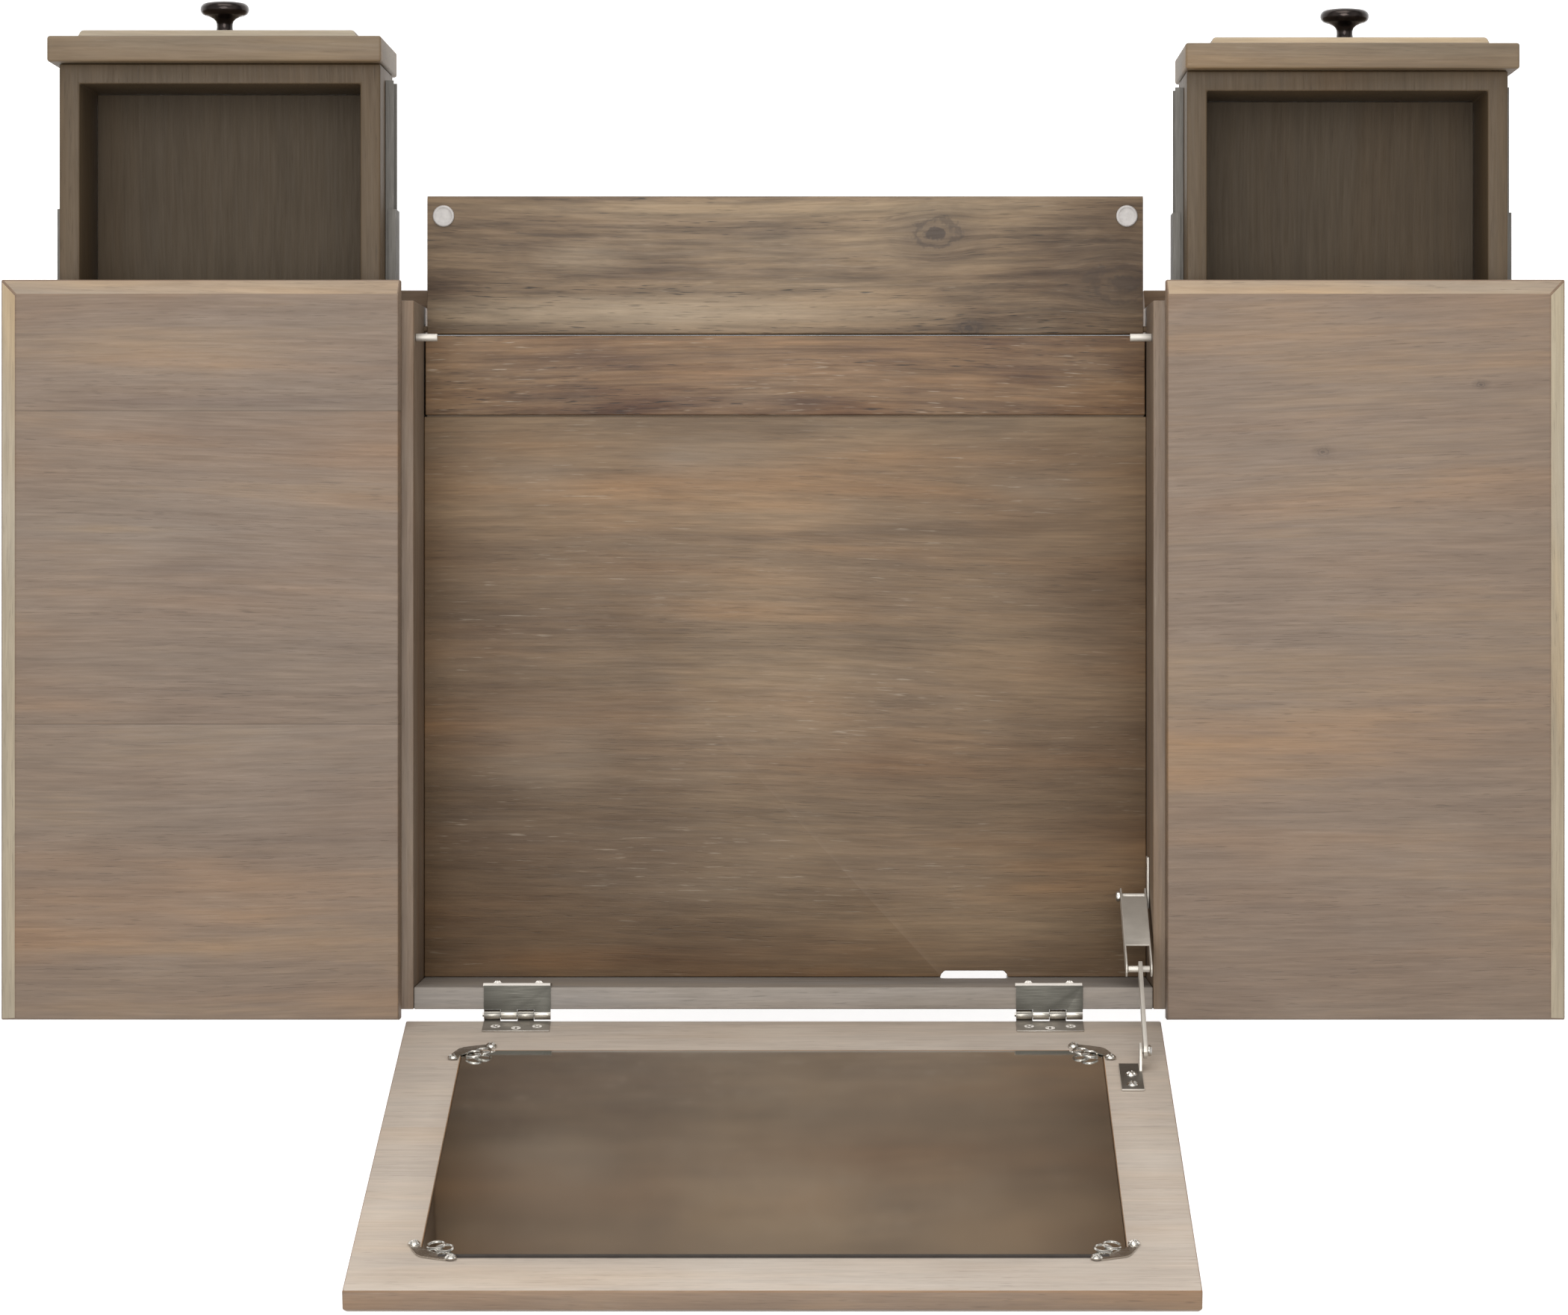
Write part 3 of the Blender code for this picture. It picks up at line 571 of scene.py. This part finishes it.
def ring(bm, matrix, radius, height, sides):
    """A ring of corners round the matrix's Z."""
    steps = [2 * math.pi * i / sides for i in range(sides)]
    return [bm.verts.new(matrix @ Vector((radius * math.cos(t), radius * math.sin(t), height)))
            for t in steps]


def turned(bm, profile, matrix, sides=40):
    """Add a turned shape: profile is (radius, height) along the matrix's Z."""
    stitch(bm, [ring(bm, matrix, radius, height, sides) for radius, height in profile])


def along_frame(place, normal, spin=0.0):
    """A matrix at a place whose Z runs along a direction."""
    turn = Vector(normal).to_track_quat("Z", "Y").to_matrix().to_4x4()
    return Matrix.Translation(Vector(place)) @ turn @ Matrix.Rotation(spin, 4, "Z")


def on_lid(x, along, off):
    """A point on the open lid: along it from the hinge, off towards the sitter."""
    return LID_AXIS + Vector((x, 0.0, 0.0)) + LID_UP * along + LID_OUT * off


def lid_along(point):
    """How far up the open lid a point lies, from the hinge axis."""
    return (Vector(point) - LID_AXIS).dot(LID_UP)


# A screw head's measures, in its own radii.
HEAD_SKIRT = 0.12
CROSS_HALF_WIDTH = 0.16
CROSS_REACH = 0.65
CROSS_DEPTH = 0.22

HEAD_SIDES = 24
HEAD_RINGS = 5
HEAD_ROOT = -0.0002             # where a head starts, under the surface it sits on


def screw_head(bm, place, normal, radius, spin, dome):
    """A cross-slotted screw head: a domed disc with a sunk cross."""
    matrix = along_frame(place, normal, spin)
    top = []
    for k in range(HEAD_RINGS):
        reach = radius * (1 - k / HEAD_RINGS)
        height = radius * dome * (1 - (reach / radius) ** 2) + radius * HEAD_SKIRT
        corners = []
        for i in range(HEAD_SIDES):
            angle = 2 * math.pi * i / HEAD_SIDES
            x, y = reach * math.cos(angle), reach * math.sin(angle)
            in_cross = (min(abs(x), abs(y)) < CROSS_HALF_WIDTH * radius
                        and reach < CROSS_REACH * radius)
            sunk = CROSS_DEPTH * radius if in_cross else 0.0
            corners.append(bm.verts.new(matrix @ Vector((x, y, height - sunk))))
        top.append(corners)
    stitch(bm, [ring(bm, matrix, radius, HEAD_ROOT, HEAD_SIDES)] + top)


def tube(bm, points, radius, sides):
    """A round bar along a short run of points."""
    rings = []
    for i, point in enumerate(points):
        before = points[max(i - 1, 0)]
        after = points[min(i + 1, len(points) - 1)]
        rings.append(ring(bm, along_frame(point, after - before), radius, 0.0, sides))
    stitch(bm, rings)


# --------------------------------------------------------------------- wood

def paint_faces(piece, material, wanted):
    """Give the faces that pass a test a second finish."""
    piece.data.materials.append(material)
    index = len(piece.data.materials) - 1
    for face in piece.data.polygons:
        if wanted(face):
            face.material_index = index


def is_chamfer(face):
    return 0.8 < face.normal.z < 0.95 and face.area > 0.001


# Knots, staining, and on the compartment floor painted shade and light, of each board, as wood()
# takes them.
LEFT_TOP_KNOTS = ((-0.535, -0.171, 0.0022, 0.7), (-0.414, -0.119, 0.003, 0.6))
LEFT_TOP_STAINS = ((-0.41, -0.118, 0.08, 0.012, -0.1), (-0.54, -0.17, 0.06, 0.006, -0.08))
RIGHT_TOP_STAINS = (
    (0.43, -0.158, 0.2, 0.008, -0.2), (0.47, -0.135, 0.12, 0.014, -0.07),
    (0.47, -0.195, 0.2, 0.035, 0.17), (0.4, -0.09, 0.2, 0.02, 0.09),
    (0.5, -0.06, 0.1, 0.006, 0.12), (0.44, -0.03, 0.14, 0.01, -0.08),
    (0.47, 0.26, 0.2, 0.012, 0.12))
# The compartment floor's ovals: a painted pool of light in its middle, painted shade along the rear
# wall and both side walls, and two thin dark streaks across it.
FLOOR_LIGHT_SHADE_AND_MARKS = (
    (0.02, 0.065, 0.13, 0.2, 0.13), (0.0, 0.285, 0.5, 0.03, -0.07),
    (0.24, 0.12, 0.08, 0.25, -0.07), (-0.25, 0.1, 0.12, 0.3, -0.08),
    (-0.12, -0.06, 0.12, 0.012, -0.1), (0.05, -0.055, 0.2, 0.008, -0.08))
FLOOR_PALE = (
    (0.06, -0.115, 0.09, 0.03, 0.75), (0.19, 0.11, 0.09, 0.06, 0.6),
    (0.2, -0.1, 0.08, 0.03, 0.45), (-0.2, -0.09, 0.07, 0.03, 0.4))
STRIP_STAINS = ((-0.19, -0.18, 0.06, 0.012, -0.08),)

# The flap's, with the place across measured from its front edge.
FLAP_KNOTS = ((-0.1186, 0.0291, 0.013, 0.85), (-0.2647, 0.068, 0.017, 0.7),
              (-0.1457, 0.104, 0.006, 0.85))
FLAP_STAINS = (
    (-0.25, 0.045, 0.13, 0.075, -0.11), (0.1, 0.045, 0.3, 0.03, -0.05),
    (0.27, 0.07, 0.07, 0.03, -0.09), (0.05, 0.01, 0.3, 0.014, 0.16),
    (0.0, 0.062, 0.35, 0.01, -0.12), (-0.13, 0.04, 0.06, 0.03, -0.08))
FLAP_PALE = ((0.1, 0.092, 0.34, 0.022, 0.9), (0.16, 0.048, 0.06, 0.02, 0.55))

LID_KNOTS = ((-0.15, 0.348, 0.004, 0.3),)

# The width of the glued boards, and the place of one joint across them.
RIGHT_TOP_BOARD, RIGHT_TOP_SEAM = 0.2403, -0.1507
LID_INSIDE_BOARD, LID_INSIDE_SEAM = 0.5, 0.378
LID_OUTSIDE_BOARD, LID_OUTSIDE_SEAM = 0.19, 0.1


def set_back(marks, edge):
    """Marks whose place across is measured from an edge, put where they belong."""
    return [(along, edge + across, *rest) for along, across, *rest in marks]


def dress_case():
    """The tops, their chamfers, the pedestals, the legs and the compartment."""
    tops = {"left": wood("left_top_wood", "X", TOP_TONES, 3.0, tinted=0.7, light=1.56,
                         knots=LEFT_TOP_KNOTS, stains_and_painted_light=LEFT_TOP_STAINS),
            "right": wood("right_top_wood", "X", TOP_TONES, 8.0, RIGHT_TOP_BOARD, RIGHT_TOP_SEAM,
                          0.45, light=1.58, stains_and_painted_light=RIGHT_TOP_STAINS)}
    # Lighter woods for the chamfers: a painted highlight on the tilted faces.
    chamfer = wood("chamfer_wood", "X", CHAMFER_TONES, 9.0, light=1.56, wash=0.5)
    end_chamfer = wood("end_chamfer_wood", "Y", EDGE_TONES, 10.0, light=1.56, wash=0.5)
    side_wood = wood("side_wood", "Y", TOP_TONES, 12.0, light=1.42)
    wall_wood = wood("wall_wood", "Y", WALL_TONES, 15.0, light=1.25)
    leg_wood = wood("leg_wood", "Z", TOP_TONES, 18.0, light=1.42)
    back_wood = wood("back_wood", "X", WALL_TONES, 21.0, light=1.3)
    base_wood = wood("base_wood", "X", FLOOR_TONES, 24.0, light=1.4)
    for side in ("left", "right"):
        top = eased(f"{side}_top", tops[side], 1.0)
        paint_faces(top, chamfer, lambda face: is_chamfer(face) and face.normal.y < -0.2)
        paint_faces(top, end_chamfer, lambda face: is_chamfer(face) and abs(face.normal.x) > 0.2)
        eased(f"{side}_base_board", base_wood, 1.0)
        eased(f"{side}_outer_side", side_wood, 0.8, 2)
        eased(f"{side}_inner_side", wall_wood, 1.2, 2)
        eased(f"{side}_filler_stile", leg_wood, 0.8, 2)
        eased(f"{side}_back_panel", back_wood, 0.5, 2)
        eased(f"front_{side}_leg", leg_wood, 2.5)
        eased(f"rear_{side}_leg", leg_wood, 2.5)
    rail_wood = wood("rail_wood", "X", RAIL_TONES, 27.0, wash=0.5, tinted=0.4, light=1.42)
    rail = eased("rear_rail", rail_wood, 1.0, 2)
    paint_faces(rail, back_wood, lambda face: face.normal.y > 0.5)
    floor_wood = wood("floor_wood", "X", FLOOR_TONES, 30.0, stains_and_painted_light=FLOOR_LIGHT_SHADE_AND_MARKS, pale=FLOOR_PALE,
                      contrast=1.1, wash=0.25, flecked=0.3, streaky=0.4, crisp=0.06, light=1.5)
    eased("compartment_floor", floor_wood, 0.8, 2)
    strip_wood = wood("strip_wood", "X", STRIP_TONES, 33.0, contrast=1.45, wash=0.35, flecked=0.6,
                      streaky=0.5, pored=0.85, crisp=0.1, stains_and_painted_light=STRIP_STAINS, light=1.4)
    eased("floor_front_strip", strip_wood, 0.8, 2)
    strip_low, strip_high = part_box("floor_front_strip")
    floor_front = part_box("compartment_floor")[0].y
    tongue = boxed("floor_tongue",
                   (strip_low.x + 1.0 * MM, strip_high.y, strip_low.z + 2.0 * MM),
                   (strip_high.x - 1.0 * MM, floor_front, strip_high.z - 4.0 * MM), base_wood)
    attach(tongue, "case")
    eased("floor_bearers", base_wood, 0.8, 2)


def dress_flap():
    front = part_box("flap_board")[0].y
    flap_wood = wood("flap_wood", "X", FLAP_TONES, 36.0, knots=set_back(FLAP_KNOTS, front),
                     stains_and_painted_light=set_back(FLAP_STAINS, front), pale=set_back(FLAP_PALE, front),
                     contrast=1.3, wash=0.3, flecked=0.2, streaky=0.6, pored=0.8, crisp=0.11,
                     tinted=0.3, light=1.42)
    eased("flap_board", flap_wood, 0.6, 2)


def dress_drawers():
    front_wood = wood("drawer_front_wood", "X", FRONT_TONES, 39.0, light=1.85)
    # The top of each front's raised panel gets a paler wood: a painted highlight.
    panel_highlight_wood = wood("drawer_panel_wood", "X", EDGE_TONES, 40.0, light=1.7)
    box_wood = wood("drawer_box_wood", "Y", DRAWER_TONES, 42.0, wash=0.1, flecked=0.0,
                    contrast=0.7, tinted=0.5, light=1.2, gloss=0.3)
    bottom_wood = wood("drawer_bottom_wood", "Y", BOTTOM_TONES, 43.0, wash=0.05, flecked=0.0,
                       pored=0.1, contrast=0.6, tinted=0.3, light=0.88, gloss=0.15)
    for side in ("left", "right"):
        front = eased(f"{side}_drawer_front", front_wood, 2.0)
        panel_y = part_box(f"{side}_drawer_front")[0].y + 5.0 * MM
        paint_faces(front, panel_highlight_wood, lambda face: face.normal.z > 0.3 and face.center.y < panel_y)
        eased(f"{side}_drawer_box", box_wood, 1.5)
        eased(f"{side}_drawer_bottom", bottom_wood, 0.3, 1)


# The painted shadow along the mirror's free edge, a dark strip where its gap
# shows dark: how much shorter it is than the glass at each end, how far past
# the glass it runs, and its two faces' heights.
SHADOW_SHORT = 0.012
SHADOW_SPAN = (0.0002, 0.0034)
SHADOW_OFF = (0.0001, 0.0016)


def dress_lid():
    """Pale inside, like the tops outside and on its edges."""
    inside = wood("lid_inside_wood", "X", LID_TONES, 45.0, LID_INSIDE_BOARD, LID_INSIDE_SEAM, 0.1,
                  wash=0.5, contrast=0.6, tinted=0.3, light=1.12, knots=LID_KNOTS)
    outside = wood("lid_outside_wood", "X", TOP_TONES, 47.0, LID_OUTSIDE_BOARD, LID_OUTSIDE_SEAM,
                   0.2, light=1.28)
    arris = wood("lid_arris_wood", "X", ARRIS_TONES, 48.0, light=1.3)
    lid = eased("lid_board", inside, 1.4)
    paint_faces(lid, outside, lambda face: face.normal.dot(LID_OUT) < 0.2)
    paint_faces(lid, arris, lambda face: 0.2 < face.normal.dot(LID_OUT) < 0.95)
    # A dark strip along the glass's free edge: the painted shadow of its gap.
    low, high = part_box("mirror")
    half = (high.x - low.x) / 2 - SHADOW_SHORT
    free_edge = lid_along((0.0, high.y, high.z))
    near, far = (free_edge + rise for rise in SHADOW_SPAN)
    bm = bmesh.new()
    hexahedron(bm, [on_lid(x, along, LID_FACE_OFF + off) for off in SHADOW_OFF
                    for x, along in ((-half, near), (half, near), (half, far), (-half, far))])
    shadow = link_mesh("mirror_gap_shadow_strip", bm, painted_gap_shadow())
    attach(shadow, "lid")


# ----------------------------------------------------------------- fittings

# The knob's foot and neck, as (radius, height) in millimetres.
KNOB_NECK = ((9.0, 0.0), (9.2, 0.6), (9.0, 1.4), (7.4, 2.4), (6.5, 4.2), (6.2, 6.5),
             (6.3, 9.0), (7.0, 11.2), (8.8, 13.0), (12.0, 14.6), (15.5, 15.6))
KNOB_RIM = 5.0 * MM             # radius of its rolled rim
KNOB_DOME = 1.3 * MM            # how far its face rises above the rim

# The bumper's section, in its own radius and thickness.
PAD_PROFILE = ((0.98, 0.0), (1.0, 0.3), (0.97, 0.75), (0.9, 0.98), (0.82, 1.0), (0.76, 0.85),
               (0.7, 0.72), (0.4, 0.82), (0.1, 0.9))


def make_knobs():
    """Mushroom knobs with a foot, a waisted neck and a rolled rim."""
    metal = bronze()
    for side in ("left", "right"):
        low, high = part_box(f"{side}_knob")
        reach = high.y - low.y
        radius = (high.x - low.x) / 2
        place = Vector(((low.x + high.x) / 2, high.y, (low.z + high.z) / 2))
        profile = [(r * MM, h * MM) for r, h in KNOB_NECK]
        centre = reach - KNOB_RIM - KNOB_DOME
        for i in range(9):
            angle = -math.pi / 2.4 + i * math.pi / 8 * 0.98
            profile.append((radius - KNOB_RIM + KNOB_RIM * math.cos(angle),
                            centre + KNOB_RIM * math.sin(angle)))
        rise = reach - (centre + KNOB_RIM)
        for i in range(1, 8):
            share = i / 8
            profile.append(((radius - KNOB_RIM) * (1 - share),
                            centre + KNOB_RIM + rise * (1 - (1 - share) ** 2)))
        profile.append((0.4 * MM, reach))
        bm = bmesh.new()
        turned(bm, profile, along_frame(place, (0.0, -1.0, 0.0)), 48)
        knob = link_mesh(f"{side}_turned_knob", bm, metal, 40)
        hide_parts(f"{side}_knob")
        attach(knob, f"{side}_drawer")


def make_bumpers():
    """Soft pads: a domed disc with a raised lip."""
    pad = soft_pad()
    for side in ("left", "right"):
        low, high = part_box(f"{side}_flap_bumper")
        radius = (high.x - low.x) / 2
        thick = high.z - low.z
        place = Vector(((low.x + high.x) / 2, (low.y + high.y) / 2, low.z))
        profile = [(radius * share, thick * rise) for share, rise in PAD_PROFILE]
        bm = bmesh.new()
        turned(bm, profile, along_frame(place, (0.0, 0.0, 1.0)), 40)
        bumper = link_mesh(f"{side}_bumper_pad", bm, pad, 50)
        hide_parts(f"{side}_flap_bumper")
        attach(bumper, "flap")


# Radii of the heads, and how deep a flush one sits, in its own radii.
CLIP_SCREW = 0.0042
LEAF_SCREW = 0.0037
CASE_SCREW = 0.0036
BRACKET_SCREW = 0.0045
WALL_SCREW = 0.0042
SUNK = 0.12

# A corner clip in millimetres from the glass's corner: the middle line and the
# half widths of its plate, the starts and headings of its two curls.
CLIP_SPINE = ((6.0, 21.0), (4.0, 12.0), (-1.0, 4.5), (-4.5, 1.0), (-12.0, -4.0), (-21.0, -6.0))
CLIP_HALF_WIDTHS = (5.2, 3.6, 5.6, 5.6, 3.6, 5.2)
CLIP_CURLS = (((-3.0, 9.0), 0.25), ((-9.0, 3.0), -0.25))
CURL_RADIUS = 6.5
CURL_WIRE = 0.0009
CURL_STEPS = 14
CLIP_REST = 0.0002              # how far the plate lies off the lid
CLIP_THICK = 0.0011


def clip_plate(bm, corner, side, inward):
    """A pressed corner clip: two screw ears and a pair of curled wings."""
    def at(u, v, off):
        return on_lid(corner[0] + side * u * MM, corner[1] + inward * v * MM, LID_FACE_OFF + off)

    outline = []
    for sign in (1, -1):
        pairs = list(zip(CLIP_SPINE, CLIP_HALF_WIDTHS))[::sign]
        for i, ((u, v), half) in enumerate(pairs):
            reach = half * (0.7071 if 0 < i < len(pairs) - 1 else 0.6)
            outline.append((u - sign * reach, v + sign * reach))
    stitch(bm, [[bm.verts.new(at(u, v, off)) for u, v in outline]
                for off in (CLIP_REST, CLIP_REST + CLIP_THICK)])
    for start, heading in CLIP_CURLS:
        loop = []
        for k in range(CURL_STEPS + 1):
            turn = math.pi * (0.15 + 1.7 * k / CURL_STEPS)
            u = start[0] - CURL_RADIUS + CURL_RADIUS * math.cos(turn) * math.cos(heading)
            v = start[1] + CURL_RADIUS + CURL_RADIUS * math.sin(turn)
            lift = 0.0016 + 0.0012 * math.sin(math.pi * k / CURL_STEPS)
            loop.append(at(u, v, lift))
        tube(bm, loop, CURL_WIRE, 8)
    for i, (u, v) in enumerate((CLIP_SPINE[0], CLIP_SPINE[-1])):
        screw_head(bm, at(u, v, CLIP_REST + CLIP_THICK), LID_OUT, CLIP_SCREW, 0.4 + i, dome=0.55)


def make_clips(metal):
    low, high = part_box("mirror")
    mirror_half = (high.x - low.x) / 2
    lower_edge = lid_along((0.0, low.y, low.z))
    upper_edge = lid_along((0.0, high.y, high.z))
    for side_name, side in (("left", -1), ("right", 1)):
        for level, along, inward in (("lower", lower_edge, 1), ("upper", upper_edge, -1)):
            bm = bmesh.new()
            clip_plate(bm, (side * mirror_half, along), side, inward)
            clip = link_mesh(f"{side_name}_{level}_corner_clip", bm, metal, 40)
            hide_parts(f"{side_name}_{level}_clip")
            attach(clip, "lid")


def leaf_face_off(side):
    """How far the flat of a lid leaf stands off the lid's axis."""
    corners = [Vector(v.co) - LID_AXIS for v in NODES[f"{side}_hinge_lid_leaf"].data.vertices]
    return max(corner.dot(LID_OUT) for corner in corners if corner.dot(LID_UP) > 0.012)


LEAF_ROWS = ((-1, 0.0165), (0, 0.0205), (1, 0.0165))    # side, and place along the lid
SCREW_PITCH = 0.31              # in widths of the leaf
CASE_SCREW_RISE = 0.009         # above the foot of the case leaf

# A bright wedge along the fold at a case leaf's top, a painted highlight: how far it
# slants forward and down, how deep its foot is, and how far it stops short of the
# leaf's top and of each end.
FOLD_OUT = 0.0016
FOLD_DROP = 0.0038
FOLD_FOOT = 0.0008
FOLD_TOP = 0.0004
FOLD_SHORT = 0.0005
FOLD_ROOT = 0.0003              # how far it reaches into the leaf


def make_hinge_screws(metal):
    """Three countersunk heads on each lid leaf, two on each case leaf, and a bright wedge at its
    fold, a painted highlight.
    """
    for side in ("left", "right"):
        low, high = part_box(f"{side}_hinge_lid_leaf")
        middle = (low.x + high.x) / 2
        pitch = (high.x - low.x) * SCREW_PITCH
        sunk_face = leaf_face_off(side) - SUNK * LEAF_SCREW
        bm = bmesh.new()
        for i, along in LEAF_ROWS:
            place = on_lid(middle + i * pitch, along, sunk_face)
            screw_head(bm, place, LID_OUT, LEAF_SCREW, 0.7 * i, dome=0.06)
        screws = link_mesh(f"{side}_hinge_lid_screws", bm, metal, 40)
        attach(screws, "lid")
        case_low, case_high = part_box(f"{side}_hinge_case_leaf")
        bm = bmesh.new()
        for i in (-1, 1):
            place = Vector((middle + i * pitch, case_low.y, case_low.z + CASE_SCREW_RISE))
            screw_head(bm, place, (0.0, -1.0, 0.0), CASE_SCREW, 0.9 * i, dome=0.75)
        case_screws = link_mesh(f"{side}_hinge_case_screws", bm, metal, 40)
        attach(case_screws, "case")
        leaf_corners = [v.co for v in NODES[f"{side}_hinge_case_leaf"].data.vertices]
        leaf_top = max(corner.z for corner in leaf_corners if corner.y < case_low.y + 0.002)
        left, right = case_low.x + FOLD_SHORT, case_high.x - FOLD_SHORT
        foot = leaf_top - (FOLD_DROP + FOLD_FOOT)
        bm = bmesh.new()
        hexahedron(bm, [(x, y, z) for y, head in ((case_low.y - FOLD_OUT, leaf_top - FOLD_DROP),
                                                  (case_low.y + FOLD_ROOT, leaf_top - FOLD_TOP))
                        for x, z in ((left, foot), (right, foot), (right, head), (left, head))])
        fold = link_mesh(f"{side}_hinge_fold_highlight", bm, metal, 40)
        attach(fold, "case")


STAY_PLATE = 0.0015             # how thick the wall bracket's plate is
STAY_PLATE_OFF = 0.0017         # how far the lid bracket's plate stands off the lid

# Rivet heads as (radius, height).
WALL_RIVET = ((0.0042, -0.001), (0.0042, 0.0006), (0.0036, 0.0016), (0.002, 0.0021))
LID_RIVET = ((0.0042, -0.0008), (0.0042, 0.0005), (0.0036, 0.0014), (0.002, 0.0018))


def make_stay_fittings(metal):
    """Screws and rivet heads of the lid stay."""
    low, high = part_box("stay_lid_bracket")
    plate_x = high.x - 8.5 * MM
    bm = bmesh.new()
    for along in (0.130, 0.152):
        place = on_lid(plate_x, along, LID_FACE_OFF + STAY_PLATE_OFF)
        screw_head(bm, place, LID_OUT, BRACKET_SCREW, along * 40, 0.6)
    screws = link_mesh("stay_lid_screws", bm, metal, 40)
    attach(screws, "lid")

    wall_low, wall_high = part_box("stay_wall_bracket")
    pivot = Vector(JOINTS["stay_wall_pivot"]["pos_m"])
    plate_face = wall_low.x + STAY_PLATE
    bm = bmesh.new()
    screw_head(bm, (plate_face - SUNK * WALL_SCREW, wall_low.y + 9.0 * MM, pivot.z),
               (1.0, 0.0, 0.0), WALL_SCREW, 0.5, 0.08)
    turned(bm, WALL_RIVET, along_frame((wall_high.x, pivot.y, pivot.z), (1.0, 0.0, 0.0)), 24)
    wall_screw = link_mesh("stay_wall_screws", bm, metal, 40)
    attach(wall_screw, "case")

    pin = Vector(JOINTS["stay_lid_pivot"]["pos_m"])
    bm = bmesh.new()
    turned(bm, LID_RIVET, along_frame((low.x, pin.y, pin.z), (-1.0, 0.0, 0.0)), 24)
    head = link_mesh("stay_lid_rivet", bm, metal, 40)
    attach(head, "lid")


KNUCKLE_REACH = 4.5 * MM        # a face this near the lid's axis is part of a knuckle
SMALL_FACE = 0.0001             # square metres
FLAT_FACE = 0.0002


def eased_metal(node, material):
    return eased(node, material, 0.25, 2)


def is_knuckle(face):
    """Whether a face belongs to the rolled knuckles round the lid's axis."""
    near = math.hypot(face.center.y - LID_AXIS.y, face.center.z - LID_AXIS.z) < KNUCKLE_REACH
    return near and abs(face.normal.x) < 0.1 and face.area < SMALL_FACE


def is_flat(face):
    return face.area > FLAT_FACE


def dress_metal():
    metal = plated_steel("nickel", (0.58, 0.55, 0.5), 0.24)
    satin = plated_steel("nickel_satin", (0.56, 0.52, 0.46), 0.42, metallic=0.6)
    knuckle = plated_steel("nickel_knuckle", (0.3, 0.28, 0.245), 0.22)
    # Near-white and hardly metallic: a painted highlight on the hinge screw heads and on the case
    # leaves' folds.
    heads = plated_steel("screw_heads", (0.93, 0.88, 0.81), 0.5, metallic=0.2)
    # Darker copies of the same nickel, painted shade: knuckle on the knuckles, dark on the case
    # leaves' flats, near-black so they don't mirror the overhead light, and bracket on the lid
    # bracket's broad face.
    dark = plated_steel("nickel_leaf", (0.085, 0.081, 0.069), 0.5)
    lid_leaf = plated_steel("nickel_lid_leaf", (0.5, 0.46, 0.41), 0.48)
    bracket = plated_steel("nickel_bracket", (0.22, 0.205, 0.18), 0.45)
    slide = plated_steel("zinc_slide", (0.13, 0.12, 0.105), 0.55, "Y", 0.35)
    for node in NODES:
        if "_slide_" in node:
            repaint(node, slide)
        elif "hinge" in node:
            leaf = eased(node, metal, 0.5, 2)
            paint_faces(leaf, knuckle, is_knuckle)
            # The case leaves' flats get the near-black copy: painted shade.
            paint_faces(leaf, lid_leaf if "lid" in node else dark, is_flat)
            if "case" in node:
                # The fold along a case leaf's top gets the near-white copy: a painted highlight.
                paint_faces(leaf, heads, lambda face: face.normal.z > 0.2 and face.normal.y < -0.2)
        elif "stop_pin" in node:
            eased_metal(node, satin)
        elif node.startswith("stay_"):
            piece = eased_metal(node, satin)
            if "lid" in node:
                # The bracket's broad face gets the darker copy: painted shade.
                paint_faces(piece, bracket,
                            lambda face: is_flat(face) and face.normal.dot(LID_OUT) > 0.9)
    make_clips(metal)
    make_hinge_screws(heads)
    make_stay_fittings(metal)
    repaint("mirror", mirror_glass())


make_camera()
make_stage()
dress_case()
dress_flap()
dress_drawers()
dress_lid()
make_knobs()
make_bumpers()
dress_metal()
